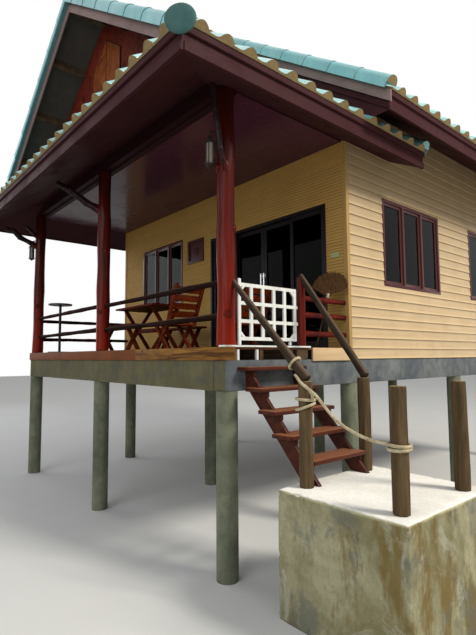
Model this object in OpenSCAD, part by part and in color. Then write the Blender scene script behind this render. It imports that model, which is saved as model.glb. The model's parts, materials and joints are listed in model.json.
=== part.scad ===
// Timber bungalow on round columns with a veranda, a gated stair and a landing block.
// Origin: centre of the near corner column's foot. +X right, +Y to the back, +Z up.

/* [Columns and beams] */
// Distance between column centres across the house
bay_w = 3030; // [2800:10:3300]
// Depth of the veranda between its column rows
veranda_d = 2100; // [1900:10:2300]
// Depth of one room bay between its column rows
room_bay_d = 3000; // [2800:10:3300]
// Diameter of a round column
column_d = 228; // [180:2:260]
// Clear height under the beams
column_h = 1898; // [1500:10:2400]
// Depth of a beam
beam_h = 320; // [240:10:400]
// Width of a beam
beam_w = 200; // [160:5:240]

/* [Floor] */
// Depth of a floor joist
joist_h = 114; // [90:2:150]
// Width of a floor joist
joist_w = 50; // [38:2:75]
// Distance between joist centres
joist_gap = 480; // [400:10:600]
// Thickness of the floor boards
deck_t = 25; // [18:1:35]
// Thickness of the boards along the floor's edge
edge_board_t = 28; // [18:1:40]

/* [Walls] */
// Thickness of a wall with its siding
wall_t = 110; // [80:5:150]
// Height of the ceiling over the floor
ceiling_h = 2813; // [2500:10:3100]
// Thickness of a ceiling panel
ceiling_t = 12; // [9:1:20]
// Width of a corner trim board
trim_w = 95; // [60:5:130]
// How far a corner trim stands proud of the siding
trim_t = 14; // [10:1:25]

/* [Door and windows] */
// Width of the glazed door opening
door_w = 2650; // [2200:10:2700]
// Height of the glazed door opening
door_h = 2030; // [1900:10:2150]
// Distance from the door opening to the right wall face
door_edge = 345; // [250:5:500]
// Width of a door or window frame member
frame_w = 45; // [35:1:60]
// Thickness of a sliding leaf
leaf_t = 34; // [28:1:40]
// Width of a leaf's stiles and rails
leaf_w = 62; // [50:1:80]
// Overlap of a sliding leaf on the fixed leaf beside it
leaf_lap = 40; // [25:1:60]
// Thickness of a pane of glass
glass_t = 6; // [4:1:10]
// Height of the window heads over the floor
window_head = 2205; // [2100:5:2300]
// Height of a window opening
window_h = 1300; // [1100:10:1500]
// Width of a window opening in the side walls
side_window_w = 1680; // [1400:10:1900]
// Width of the window opening in the front wall
front_window_w = 1540; // [1300:10:1600]
// Distance from the front wall face to the first side window
side_window_off = 855; // [700:10:1000]
// Distance from the left wall face to the front window
front_window_off = 830; // [750:10:900]

/* [Veranda] */
// Diameter of a veranda post at its foot
post_d = 204; // [170:2:230]
// Height of the beam over the veranda posts
porch_beam_h = 210; // [180:5:240]
// Width of the beams over the veranda posts
porch_beam_w = 110; // [90:5:140]
// Diameter of a log rail
rail_d = 72; // [55:1:90]
// Height of the upper log rail over the floor
rail_top = 700; // [600:10:900]
// Height of the lower log rail over the floor
rail_low = 330; // [250:10:450]
// Diameter of the gate post
gate_post_d = 104; // [80:2:130]
// Height of the gate post
gate_post_h = 850; // [750:10:1000]
// Distance from the corner post to the gate post
gate_post_y = 1130; // [1110:5:1200]

/* [Gate] */
// Width of the gate
gate_w = 906; // [800:2:920]
// Height of the gate's lattice
gate_h = 620; // [560:2:680]
// Clearance under the gate's lattice
gate_low = 72; // [64:2:90]
// Thickness of the gate's bars
gate_t = 22; // [18:1:28]
// Width of a gate bar
gate_bar = 38; // [30:1:46]
// Count of the gate's upright bars
gate_bars = 6; // [4:1:8]

/* [Stair and landing] */
// Height of the landing block
landing_h = 1100; // [900:10:1300]
// Length of the landing block away from the house
landing_l = 1255; // [1150:10:1800]
// Width of the landing block
landing_w = 1380; // [1300:10:1800]
// Distance from the corner column to the landing block
landing_x = 845; // [800:5:900]
// Count of the stair's risers
risers = 6; // [5:1:8]
// Depth of a tread
tread_d = 240; // [200:5:280]
// Thickness of a tread
tread_t = 38; // [30:1:50]
// Thickness of a stair stringer
stringer_t = 42; // [34:1:55]
// Depth of a stair stringer across its slope
stringer_d = 150; // [120:5:180]
// Diameter of a landing post
landing_post_d = 128; // [100:2:135]
// Height of a landing post
landing_post_h = 930; // [800:10:1050]
// Diameter of a stair handrail at its foot
handrail_d = 92; // [70:1:100]
// Diameter of the rope
rope_d = 28; // [16:1:32]

/* [Roof] */
// Rise of the roofs per unit of run
pitch = 0.705; // [0.55:0.005:0.8]
// Thickness of the tiled roof covering, measured upright
roof_t = 70; // [50:1:90]
// Height of the porch roof's underside at its eave edge
porch_eave_z = 5110; // [5000:10:5250]
// Reach of the porch roof past the corner columns at the sides
porch_side = 680; // [600:10:750]
// Reach of the porch roof past the front columns
porch_front = 1040; // [950:10:1150]
// Reach of the upper gable past the front columns
gable_reach = 620; // [550:10:700]
// Length of the porch roof's return behind the front wall
return_l = 1080; // [900:10:1300]
// Height of the main roof's underside at its eave edge
main_eave_z = 5410; // [5390:10:5500]
// Reach of the main roof past the side columns
main_side = 985; // [900:10:1050]
// Reach of the main roof past its gable walls
main_verge = 250; // [200:10:350]
// Thickness of fascia and barge boards
board_t = 22; // [18:1:30]
// Depth of the eave fascia boards
fascia_h = 225; // [180:5:260]
// Depth of the barge boards
barge_h = 150; // [120:5:180]
// Width of a purlin
purlin_w = 50; // [40:2:70]
// Depth of a purlin
purlin_h = 90; // [70:5:120]
// Outer radius of the round cap tiles
cap_r = 95; // [80:1:110]
// Thickness of a cap tile
cap_t = 16; // [12:1:22]

/* [Hidden] */

$fn = 48;
eps = 1;
far = 20000;
// Space left where a sloped face seats on another
seat_gap = 0.3;

// Levels over the ground
beam_top = column_h + beam_h;
deck_low = beam_top + joist_h;
floor_z = deck_low + deck_t;
ceiling_z = floor_z + ceiling_h;
post_top = ceiling_z + ceiling_t;

// Column rows and wall faces
ridge_x = -bay_w;
left_x = -2 * bay_w;
columns_x = [0, ridge_x, left_x];
columns_y = [0, veranda_d, veranda_d + room_bay_d, veranda_d + 2 * room_bay_d];
back_y = columns_y[3];
face_out = beam_w / 2 + 5;
wall_right = face_out;
wall_left = left_x - face_out;
wall_front = veranda_d - face_out;
wall_back = back_y + face_out;

// Roof planes: height of each covering's underside
function porch_z(x) = porch_eave_z + pitch * (porch_side - x);
function skirt_z(y) = porch_eave_z + pitch * (y + porch_front);
function main_z(x) = main_eave_z + pitch * (main_side - x);
porch_ridge_z = porch_z(ridge_x);
main_ridge_z = main_z(ridge_x);
hip_x = porch_side - (porch_front - gable_reach);
verge_front = wall_front - main_verge;
verge_back = wall_back + main_verge;
return_y = veranda_d + return_l - face_out;
gable_front = -porch_beam_w / 2;
gable_back = porch_beam_w / 2;

// Extrusions of an upright outline along the house and across it
module along_y(y0, y1) {
    translate([0, y1, 0]) rotate([90, 0, 0]) linear_extrude(height = y1 - y0) children();
}

module along_x(x0, x1) {
    translate([x0, 0, 0]) rotate([90, 0, 90]) linear_extrude(height = x1 - x0) children();
}

module box(low, high) {
    translate(low) cube([high[0] - low[0], high[1] - low[1], high[2] - low[2]]);
}

module mirrored() {
    translate([2 * ridge_x, 0, 0]) mirror([1, 0, 0]) children();
}

module both_sides() {
    children();
    mirrored() children();
}

// Round bars swept along a list of points
function unit(v) = v / norm(v);
function heading(p, i) = unit(p[min(i + 1, len(p) - 1)] - p[max(i - 1, 0)]);
function side_of(t) = abs(t[2]) > 0.9 ? unit(cross(t, [1, 0, 0])) : unit(cross(t, [0, 0, 1]));
function ring(c, t, r, n) = let (a = side_of(t), b = cross(t, a))
    [for (k = [0:n - 1]) c + r * (cos(360 * k / n) * a + sin(360 * k / n) * b)];

module sweep(p, r, n) {
    m = len(p);
    points = [for (i = [0:m - 1]) each ring(p[i], heading(p, i), r[i], n)];
    sides = [for (i = [0:m - 2]) for (k = [0:n - 1])
        [i * n + k, i * n + (k + 1) % n, (i + 1) * n + (k + 1) % n, (i + 1) * n + k]];
    start = [for (k = [n - 1:-1:0]) k];
    end = [for (k = [0:n - 1]) (m - 1) * n + k];
    polyhedron(points = points, faces = concat([start, end], sides), convexity = 4);
}

// Places its children's Z axis along the line from a to b
module along(a, b) {
    d = b - a;
    translate(a) rotate([0, acos(d[2] / norm(d)), atan2(d[1], d[0])]) children();
}

// A peeled log between two points, turned with a slightly uneven girth
function girth(i, seed) = sin(97 * i + 131 * seed);

module log_bar(a, b, d0, d1, uneven = 0.05, seed = 1, rings = 7) {
    length = norm(b - a);
    along(a, b) rotate_extrude() polygon(concat([[0, 0]],
        [for (i = [0:rings]) [(d0 + (d1 - d0) * i / rings) / 2 * (1 + uneven * girth(i, seed)), length * i / rings]],
        [[0, length]]));
}

// Substructure
module columns() {
    color([0.52, 0.56, 0.55])
    for (x = columns_x) for (y = columns_y)
        translate([x, y, 0]) cylinder(d = column_d, h = column_h);
}

module long_beams() {
    color([0.50, 0.54, 0.56])
    for (x = columns_x)
        box([x - beam_w / 2, -beam_w / 2, column_h], [x + beam_w / 2, back_y + beam_w / 2, beam_top]);
}

module cross_beams() {
    color([0.50, 0.53, 0.50])
    for (x = [left_x, ridge_x]) for (y = columns_y)
        box([x + beam_w / 2, y - beam_w / 2, column_h],
            [x + bay_w - beam_w / 2, y + beam_w / 2, beam_top]);
}

// Floor
joist_first = -beam_w / 2 + 6;
joist_count = floor((wall_front - joist_first) / joist_gap);
room_front = wall_front + wall_t;
room_back = wall_back - wall_t;
room_left = wall_left + wall_t;
room_right = wall_right - wall_t;
room_joists = floor((room_back - room_front - joist_w) / joist_gap);
packing_l = 190;
packing_y = joist_first + 2 * joist_gap + joist_w + 65;

module joist(x0, x1, y) {
    box([x0, y, beam_top], [x1, y + joist_w, deck_low]);
}

module floor_joists() {
    color([0.42, 0.33, 0.25]) {
        for (i = [0:joist_count]) joist(left_x - beam_w / 2, beam_w / 2, joist_first + i * joist_gap);
        for (i = [0:room_joists]) joist(room_left, room_right, room_front + i * joist_gap);
        box([0, packing_y, beam_top], [beam_w / 2, packing_y + packing_l, deck_low]);
    }
}

deck_front = joist_first;

module veranda_floor() {
    color([0.48, 0.36, 0.27])
    box([left_x - beam_w / 2, deck_front, deck_low], [beam_w / 2, wall_front, floor_z]);
}

module house_floor() {
    color([0.50, 0.38, 0.28])
    box([room_left, room_front, deck_low], [room_right, room_back, floor_z]);
}

stair_high_y = 1240;

board_joint = 0.58 * ridge_x;

module front_edge_board() {
    color([0.66, 0.50, 0.35])
    for (x = [[left_x - beam_w / 2, board_joint - 1.5], [board_joint + 1.5, beam_w / 2 + 160]])
        box([x[0], deck_front - edge_board_t, beam_top], [x[1], deck_front, floor_z]);
}

// Threshold strip along the stair's head, on the floor's edge, with two small uprights below it
sill_t = 18;
sill_x = [40, beam_w / 2 + 28];
sill_y = [-140, 1200];
upright_y = [64, 338];
upright_w = 28;

module gate_sill() {
    color([0.80, 0.80, 0.76]) {
        difference() {
            box([sill_x[0], sill_y[0], floor_z], [sill_x[1], sill_y[1], floor_z + sill_t]);
            all_post_logs();
            gate_post();
        }
        for (y = upright_y)
            box([beam_w / 2 - upright_w, y, beam_top], [beam_w / 2, y + upright_w, deck_low]);
    }
}

module side_edge_boards() {
    color([0.85, 0.76, 0.56]) {
        box([beam_w / 2, stair_high_y, beam_top - 20],
            [beam_w / 2 + edge_board_t, wall_front, floor_z]);
        box([left_x - beam_w / 2 - edge_board_t, deck_front, beam_top - 20],
            [left_x - beam_w / 2, wall_front, floor_z]);
    }
}

// Veranda posts: logs with the stubs of branches left on as braces
module post_log(x, seed) {
    log_bar([x, 0, floor_z], [x, 0, post_top], post_d, post_d * 0.93, 0.03, seed, 9);
}

module branch(points, d0, d1) {
    last = len(points) - 1;
    for (i = [0:last - 1]) {
        low_d = d0 + (d1 - d0) * i / last;
        high_d = d0 + (d1 - d0) * (i + 1) / last;
        along(points[i], points[i + 1]) cylinder(d1 = low_d, d2 = high_d, h = norm(points[i + 1] - points[i]));
        if (i > 0) translate(points[i]) sphere(d = low_d * 1.1);
    }
}

near_branch = [[20, -20, 1840], [85, -115, 1985], [100, -152, 2080], [100, -179, 2275], [101, -222, 2500],
    [105, -250, 2700], [108, -262, 2765]];
mid_branch = [[0, 0, 2150], [-110, -120, 2265], [-190, -215, 2335], [-330, -430, 2530], [-440, -600, 2640]];
far_branch = [[0, 0, 2130], [0, -143, 2210], [0, -403, 2316], [0, -532, 2425], [0, -690, 2455]];
far_stub = [[0, 0, 2330], [0, -110, 2395], [0, -205, 2490], [0, -290, 2565]];

module veranda_post(x, seed, points, d0, d1) {
    post_log(x, seed);
    translate([x, 0, floor_z]) branch(points, d0, d1);
}

module veranda_posts() {
    color([0.50, 0.16, 0.11]) {
        veranda_post(0, 1, near_branch, 78, 56);
        veranda_post(ridge_x, 2, mid_branch, 128, 92);
        veranda_post(left_x, 3, far_branch, 112, 84);
        translate([left_x, 0, floor_z]) branch(far_stub, 80, 64);
    }
}

module front_porch_beam() {
    color([0.30, 0.14, 0.12])
    box([left_x - porch_beam_w / 2, gable_front, post_top],
        [porch_beam_w / 2, gable_back, post_top + porch_beam_h]);
}

module side_porch_beam() {
    r = porch_beam_w / 2;
    along_y(gable_back, wall_front)
        polygon([[-r, post_top], [r, post_top], [r, porch_z(r) - seat_gap], [-r, porch_z(-r) - seat_gap]]);
}

module side_porch_beams() {
    color([0.30, 0.14, 0.12]) both_sides() side_porch_beam();
}

// Railings
module gate_post() {
    color([0.55, 0.17, 0.11])
    log_bar([45, gate_post_y, floor_z], [45, gate_post_y, floor_z + gate_post_h],
        gate_post_d, gate_post_d * 0.94, 0.03, 4, 5);
}

module all_post_logs() {
    post_log(0, 1);
    post_log(ridge_x, 2);
    post_log(left_x, 3);
}

module log_rails() {
    color([0.38, 0.32, 0.28])
    difference() {
        union() {
            for (bay = [0, 1]) for (h = [rail_top, rail_low])
                log_bar([-bay * bay_w, 0, floor_z + h], [-(bay + 1) * bay_w, 0, floor_z + h - 12],
                    rail_d, rail_d * 0.85, 0.08, bay * 2 + h / 100, 9);
            for (h = [rail_top - 60, rail_low - 60])
                log_bar([left_x, 0, floor_z + h], [left_x, wall_front - trim_t, floor_z + h],
                    rail_d, rail_d * 0.9, 0.06, h / 90, 7);
        }
        all_post_logs();
    }
}

side_rail_h = [600, 400, 170];

module side_rails() {
    color([0.52, 0.17, 0.12])
    difference() {
        for (i = [0:2])
            log_bar([45, gate_post_y, floor_z + side_rail_h[i]], [45, wall_front - trim_t, floor_z + side_rail_h[i]],
                rail_d, rail_d * 0.9, 0.05, 7 + i, 5);
        gate_post();
    }
}

// Stair: closed at its back by the beam, with its lowest tread over the landing
riser = (floor_z - landing_h) / risers;
top_tread_reach = 170;
tread_over = 185;
first_front = beam_w / 2 + top_tread_reach;
last_front = landing_x + tread_over;
going = (last_front - first_front) / (risers - 2);
tread_low_y = 60;
tread_high_y = 960;
stringer_y = [172, 905];

function tread_front(i) = first_front + going * (i - 1);
function tread_top(i) = floor_z - riser * i;
function tread_back(i) = max(tread_front(i) - tread_d, beam_w / 2);

module landing_post(x, y, seed) {
    log_bar([x, y, landing_h], [x, y, landing_h + landing_post_h],
        landing_post_d, landing_post_d * 0.97, 0.03, seed, 5);
}

post_near = [landing_x + 155, 95];
post_far = [landing_x + 127, 1032];
post_out_near = [landing_x + landing_l - 155, 55];
post_out_far = [landing_x + landing_l - 150, 1030];

module landing_posts() {
    color([0.42, 0.35, 0.27]) {
        landing_post(post_near[0], post_near[1], 11);
        landing_post(post_far[0], post_far[1], 12);
        landing_post(post_out_near[0], post_out_near[1], 13);
        landing_post(post_out_far[0], post_out_far[1], 14);
    }
}

handrail_top_d = 0.7 * handrail_d;
handrail_head = [40, 20, floor_z + 735];
handrail_foot = [post_near[0] + 25, post_near[1], landing_h + landing_post_h + 14];

module handrails() {
    color([0.40, 0.35, 0.32])
    difference() {
        union() {
            log_bar(handrail_head, handrail_foot, handrail_top_d, handrail_d, 0.04, 21, 7);
            log_bar([45, gate_post_y - 5, floor_z + gate_post_h + 24],
                [post_far[0] + 25, post_far[1], landing_h + landing_post_h + 14],
                handrail_top_d, handrail_d, 0.04, 22, 7);
        }
        all_post_logs();
        gate_post();
        landing_posts();
    }
}

module tread_outline(i) {
    translate([tread_back(i), tread_top(i) - tread_t]) square([tread_front(i) - tread_back(i), tread_t]);
}

module stair_treads() {
    color([0.50, 0.20, 0.13])
    for (i = [1:risers - 1]) {
        low_y = i == risers - 1 ? stringer_y[0] : tread_low_y;
        along_y(low_y, tread_high_y) tread_outline(i);
    }
}

// A stringer: a sloped board housed for the treads, with a cleat under the front of each
housing = 108;
cleat_h = 55;
cleat_back = 40;

module stringer_outline() {
    difference() {
        union() {
            intersection() {
                translate([first_front - housing, tread_top(1) - tread_t])
                    rotate(-atan2(riser, going)) translate([-far, -stringer_d]) square([2 * far, stringer_d]);
                translate([beam_w / 2, landing_h]) square([far, tread_top(1) - landing_h]);
            }
            for (i = [1:risers - 1])
                translate([tread_front(i) - housing - cleat_back, tread_top(i) - tread_t - cleat_h])
                    square([housing, cleat_h]);
        }
        for (i = [1:risers - 1]) tread_outline(i);
    }
}

module stair_stringers() {
    color([0.48, 0.17, 0.12])
    for (y = stringer_y) along_y(y, y + stringer_t) stringer_outline();
}

module landing_block() {
    color([0.55, 0.54, 0.47])
    box([landing_x, -125, 0], [landing_x + landing_l, landing_w - 125, landing_h]);
}

// Rope: turns tied round the two near landing posts and the sagging span between them
tie_z = [landing_h + 768, landing_h + 700];
out_tie_z = landing_h + 496;

module rope_ring(c, z, r) {
    translate([c[0], c[1], z]) rotate_extrude() translate([r + rope_d / 2, 0]) circle(d = rope_d, $fn = 16);
}

tie_r = landing_post_d / 2 + 3;
rail_ring_at = 0.86;

// A turn round the handrail a little above its foot
module rail_ring() {
    along(handrail_head + rail_ring_at * (handrail_foot - handrail_head), handrail_foot)
        rotate_extrude() translate([(handrail_d * 1.04 + rope_d) / 2, 0]) circle(d = rope_d, $fn = 16);
}

module rope_ties() {
    color([0.72, 0.66, 0.54]) {
        for (z = tie_z) rope_ring(post_near, z, tie_r);
        for (z = [out_tie_z, out_tie_z - rope_d + 1]) rope_ring(post_out_near, z, tie_r);
        rail_ring();
    }
}

// The span leaves the handrail's foot, passes in front of the near post and ends at the outer post's turns.
// Each row is the share of the way, the offset across it and the height over the upper turn
rope_from = [post_near[0] - 75, post_near[1] - 49];
rope_to = [post_out_near[0] - tie_r - rope_d, post_out_near[1] - 14];
rope_rows = [[0, 0, 218], [0.054, -22, 192], [0.109, -41, 158], [0.178, -46, 120], [0.243, -43, 86],
    [0.302, -38, 46], [0.369, -33, -16], [0.438, -30, -80], [0.524, -27, -144], [0.621, -24, -192],
    [0.719, -19, -228], [0.816, -13, -254], [0.908, -6, -268], [1, 0, -272]];
rope_route = [for (s = rope_rows) [rope_from[0] + s[0] * (rope_to[0] - rope_from[0]),
    rope_from[1] + s[0] * (rope_to[1] - rope_from[1]) + s[1], tie_z[0] + s[2]]];

module rope_span() {
    color([0.72, 0.66, 0.54])
    sweep(rope_route, [for (p = rope_route) rope_d / 2], 8);
}

// Walls
door_right = wall_right - door_edge;
door_left = door_right - door_w;
front_window_left = wall_left + front_window_off;
window_low_z = floor_z + window_head - window_h;
window_high_z = floor_z + window_head;

module front_wall_left() {
    color([0.76, 0.64, 0.38])
    difference() {
        box([wall_left, wall_front, beam_top], [door_left, room_front, ceiling_z]);
        box([front_window_left, wall_front - eps, window_low_z],
            [front_window_left + front_window_w, room_front + eps, window_high_z]);
    }
}

module front_wall_right() {
    color([0.76, 0.64, 0.38])
    box([door_right, wall_front, beam_top], [wall_right, room_front, ceiling_z]);
}

module front_wall_head() {
    color([0.76, 0.64, 0.38]) {
        box([door_left, wall_front, floor_z + door_h], [door_right, room_front, ceiling_z]);
        box([door_left, wall_front, beam_top], [door_right, room_front, floor_z]);
    }
}

// The wall over the ceiling line, up to the main roof
module upper_front_wall() {
    color([0.36, 0.20, 0.20])
    difference() {
        along_y(wall_front, room_front)
            polygon([[wall_left, ceiling_z], [wall_right, ceiling_z], [wall_right, main_z(wall_right)],
                [ridge_x, main_ridge_z], [wall_left, main_z(wall_right)]]);
        notches();
    }
}

side_window_y = [wall_front + side_window_off,
    wall_back - side_window_off - side_window_w];

module side_wall() {
    difference() {
        along_y(room_front, room_back)
            polygon([[room_right, beam_top], [wall_right, beam_top], [wall_right, main_z(wall_right)],
                [room_right, main_z(room_right)]]);
        for (y = side_window_y)
            box([room_right - eps, y, window_low_z], [wall_right + eps, y + side_window_w, window_high_z]);
    }
}

module side_wall_right() {
    color([0.86, 0.77, 0.58]) side_wall();
}

module side_wall_left() {
    color([0.86, 0.77, 0.58]) mirrored() side_wall();
}

module back_wall() {
    color([0.86, 0.77, 0.58])
    difference() {
        along_y(room_back, wall_back)
            polygon([[wall_left, beam_top], [wall_right, beam_top], [wall_right, main_z(wall_right)],
                [ridge_x, main_ridge_z], [wall_left, main_z(wall_right)]]);
        notches();
    }
}

module corner_trim(y_face, out, low, top) {
    y0 = out > 0 ? y_face : y_face - trim_t;
    box([wall_right - trim_w, y0, low], [wall_right + trim_t, y0 + trim_t, top]);
    y1 = out > 0 ? y_face - trim_w : y_face;
    box([wall_right, y1, beam_top], [wall_right + trim_t, y1 + trim_w, top]);
}

module corner_trims() {
    color([0.70, 0.58, 0.36]) both_sides() {
        corner_trim(wall_front, -1, floor_z, lining_z(wall_right + trim_t));
        corner_trim(wall_back, 1, beam_top, main_lining_z(wall_right + trim_t));
    }
}

// Glazed door: two fixed leaves outside and two sliding leaves behind them
door_low = floor_z;
door_top = floor_z + door_h;
inner_left = door_left + frame_w;
inner_right = door_right - frame_w;
leaf_span = (inner_right - inner_left + 2 * leaf_lap) / 4;
leaf_low = door_low + frame_w;
leaf_top = door_top - frame_w;
leaf_gap = 5;
outer_track = wall_front + 20;
inner_track = outer_track + leaf_t + 12;
door_mid = (inner_left + inner_right) / 2;

module door_frame() {
    color([0.14, 0.09, 0.09])
    difference() {
        box([door_left, wall_front - 8, door_low], [door_right, room_front, door_top]);
        box([inner_left, wall_front - 20, leaf_low], [inner_right, room_front + eps, leaf_top]);
    }
}

runner_l = 60;
runner_gap = 0.3;
meeting_gap = 3;

// A leaf on two runners that ride a little over the sill, with guides at its head
module leaf(x, track) {
    difference() {
        union() {
            box([x, track, leaf_low + leaf_gap], [x + leaf_span, track + leaf_t, leaf_top - leaf_gap]);
            for (x0 = [x + leaf_w, x + leaf_span - leaf_w - runner_l])
                box([x0, track + 8, leaf_low + runner_gap],
                    [x0 + runner_l, track + leaf_t - 8, leaf_top - runner_gap]);
        }
        box([x + leaf_w, track - eps, leaf_low + leaf_gap + leaf_w],
            [x + leaf_span - leaf_w, track + leaf_t + eps, leaf_top - leaf_gap - leaf_w]);
    }
}

module pane(x, track) {
    mid = track + leaf_t / 2;
    box([x + leaf_w, mid - glass_t / 2, leaf_low + leaf_gap + leaf_w],
        [x + leaf_span - leaf_w, mid + glass_t / 2, leaf_top - leaf_gap - leaf_w]);
}

fixed_x = [inner_left, inner_right - leaf_span];
slide_x = [door_mid - leaf_span, door_mid];

module door_fixed_leaves() {
    color([0.16, 0.10, 0.09])
    for (x = fixed_x) {
        leaf(x, outer_track);
        box([x, outer_track, leaf_low], [x + leaf_span, outer_track + leaf_t, leaf_low + leaf_gap]);
        box([x, outer_track, leaf_top - leaf_gap], [x + leaf_span, outer_track + leaf_t, leaf_top]);
    }
}

handle_z = floor_z + 900;
handle_l = 320;

module pull_handle(x) {
    for (z = [handle_z + 30, handle_z + handle_l - 30])
        translate([x, inner_track, z]) rotate([90, 0, 0]) cylinder(d = 14, h = 40);
    translate([x, inner_track - 40, handle_z]) cylinder(d = 22, h = handle_l);
}

module door_leaf_left() {
    color([0.16, 0.10, 0.09]) {
        leaf(slide_x[0] - meeting_gap, inner_track);
        pull_handle(slide_x[0] - meeting_gap + leaf_span - leaf_w / 2);
    }
}

module door_leaf_right() {
    color([0.16, 0.10, 0.09]) {
        leaf(slide_x[1] + meeting_gap, inner_track);
        pull_handle(slide_x[1] + meeting_gap + leaf_w / 2);
    }
}

module door_glass_left() {
    color([0.35, 0.40, 0.42, 0.5]) pane(slide_x[0] - meeting_gap, inner_track);
}

module door_glass_right() {
    color([0.35, 0.40, 0.42, 0.5]) pane(slide_x[1] + meeting_gap, inner_track);
}

// Windows: a frame with three sashes, drawn in the XZ plane and set into its wall
sash_w = 42;

module window_outline(w) {
    pitch_w = (w - frame_w) / 3;
    difference() {
        square([w, window_h]);
        for (i = [0:2])
            translate([frame_w + i * pitch_w, frame_w]) square([pitch_w - frame_w, window_h - 2 * frame_w]);
    }
}

module sash_outline(w) {
    pitch_w = (w - frame_w) / 3;
    for (i = [0:2]) translate([frame_w + i * pitch_w, frame_w]) difference() {
        square([pitch_w - frame_w, window_h - 2 * frame_w]);
        translate([sash_w, sash_w]) square([pitch_w - frame_w - 2 * sash_w, window_h - 2 * frame_w - 2 * sash_w]);
    }
}

module panes_outline(w) {
    pitch_w = (w - frame_w) / 3;
    for (i = [0:2]) translate([frame_w + sash_w + i * pitch_w, frame_w + sash_w])
        square([pitch_w - frame_w - 2 * sash_w, window_h - 2 * frame_w - 2 * sash_w]);
}

module window_frame(w) {
    along_y(-14, wall_t) window_outline(w);
    along_y(12, 48) sash_outline(w);
}

module window_panes(w) {
    along_y(27, 27 + glass_t) panes_outline(w);
}

module front_place() {
    translate([front_window_left, wall_front, window_low_z]) children();
}

module side_places() {
    both_sides() for (y = side_window_y)
        translate([wall_right, y, window_low_z]) rotate([0, 0, 90]) children();
}

module window_frames() {
    color([0.27, 0.13, 0.11]) {
        front_place() window_frame(front_window_w);
        side_places() window_frame(side_window_w);
    }
}

module fixed_glass() {
    color([0.35, 0.40, 0.42, 0.5]) {
        front_place() window_panes(front_window_w);
        side_places() window_panes(side_window_w);
        for (x = fixed_x) pane(x, outer_track);
    }
}

// Framed square panel on the front wall, with a plain rosette
panel_room = door_left - front_window_left - front_window_w;
panel_w = 0.55 * panel_room;
panel_x = door_left - (panel_room + panel_w) / 2;
panel_z = floor_z + 1670;
panel_h = 440;

module wall_panel() {
    color([0.30, 0.16, 0.12]) {
        difference() {
            box([panel_x, wall_front - 34, panel_z], [panel_x + panel_w, wall_front, panel_z + panel_h]);
            box([panel_x + 50, wall_front - 40, panel_z + 50],
                [panel_x + panel_w - 50, wall_front - 12, panel_z + panel_h - 50]);
        }
        translate([panel_x + panel_w / 2, wall_front - 12, panel_z + panel_h / 2])
            rotate([90, 0, 0]) for (i = [0:7]) rotate(45 * i) translate([55, 0, 0]) cylinder(d = 52, h = 10);
    }
}

// Ceilings
module veranda_ceiling() {
    color([0.35, 0.22, 0.20])
    box([left_x - porch_beam_w / 2, post_d / 2 + 12, ceiling_z], [porch_beam_w / 2, wall_front, post_top]);
}

module house_ceiling() {
    color([0.80, 0.76, 0.68])
    box([room_left, room_front, ceiling_z], [room_right, room_back, post_top]);
}

// Sloped sheets cut to a plan outline
module side_sheet(plan, low_x, high_x, low_z, rise, t) {
    intersection() {
        along_y(-far, far) polygon([[low_x, low_z], [high_x, low_z + rise * (low_x - high_x)],
            [high_x, low_z + rise * (low_x - high_x) + t], [low_x, low_z + t]]);
        linear_extrude(height = far) polygon(plan);
    }
}

module front_sheet(plan, low_y, high_y, low_z, rise, t) {
    intersection() {
        along_x(-far, far) polygon([[low_y, low_z], [high_y, low_z + rise * (high_y - low_y)],
            [high_y, low_z + rise * (high_y - low_y) + t], [low_y, low_z + t]]);
        linear_extrude(height = far) polygon(plan);
    }
}

// Eaves of the porch roof: fascia boards and the sloped lining behind them
fascia_x = porch_side - 30;
fascia_y = -porch_front + 30;
fascia_low = porch_eave_z - fascia_h;
strip_t = 12;
strip_h = 0.36 * fascia_h;
lining_t = 12;
lining_x = fascia_x - board_t;
lining_y = fascia_y + board_t;
lining_rise = (post_top + porch_beam_h - 20 - fascia_low - 20) / (gable_front - lining_y);
lining_in = gable_front - lining_y;
lining_low = fascia_low + 20;
function lining_z(x) = lining_low + lining_rise * (lining_x - x);
function main_lining_z(x) = main_fascia_low + 20 + pitch * (main_fascia_x - board_t - x);

module front_eave() {
    color([0.42, 0.24, 0.22]) {
        box([2 * ridge_x - fascia_x, fascia_y, fascia_low], [fascia_x, lining_y, porch_eave_z]);
        box([2 * ridge_x - fascia_x, fascia_y - strip_t, fascia_low], [fascia_x, lining_y, fascia_low + strip_h]);
        front_sheet([[lining_x, lining_y], [lining_x - lining_in, gable_front],
            [2 * ridge_x - lining_x + lining_in, gable_front], [2 * ridge_x - lining_x, lining_y]],
            lining_y, gable_front, lining_low, lining_rise, lining_t);
    }
}

module side_eave() {
    box([lining_x, lining_y, fascia_low], [fascia_x, return_y, porch_eave_z]);
    box([lining_x, lining_y, fascia_low], [fascia_x + strip_t, return_y, fascia_low + strip_h]);
    side_sheet([[lining_x, lining_y], [lining_x, return_y], [wall_right, return_y], [wall_right, wall_front],
        [porch_beam_w / 2, wall_front], [porch_beam_w / 2, gable_front], [lining_x - lining_in, gable_front]],
        lining_x, lining_x - lining_in, lining_low, lining_rise, lining_t);
}

module side_eaves() {
    color([0.42, 0.24, 0.22]) difference() {
        both_sides() side_eave();
        all_post_logs();
    }
}

// Eaves of the main roof
main_fascia_x = main_side - 30;
main_fascia_low = main_eave_z - fascia_h;

module main_eave() {
    inner = main_fascia_x - board_t;
    box([inner, verge_front, main_fascia_low], [main_fascia_x, verge_back, main_eave_z]);
    side_sheet([[inner, verge_front], [inner, verge_back], [wall_right, verge_back], [wall_right, verge_front]],
        inner, wall_right, main_fascia_low + 20, pitch, lining_t);
}

module main_eaves() {
    color([0.38, 0.24, 0.24]) both_sides() main_eave();
}

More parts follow.
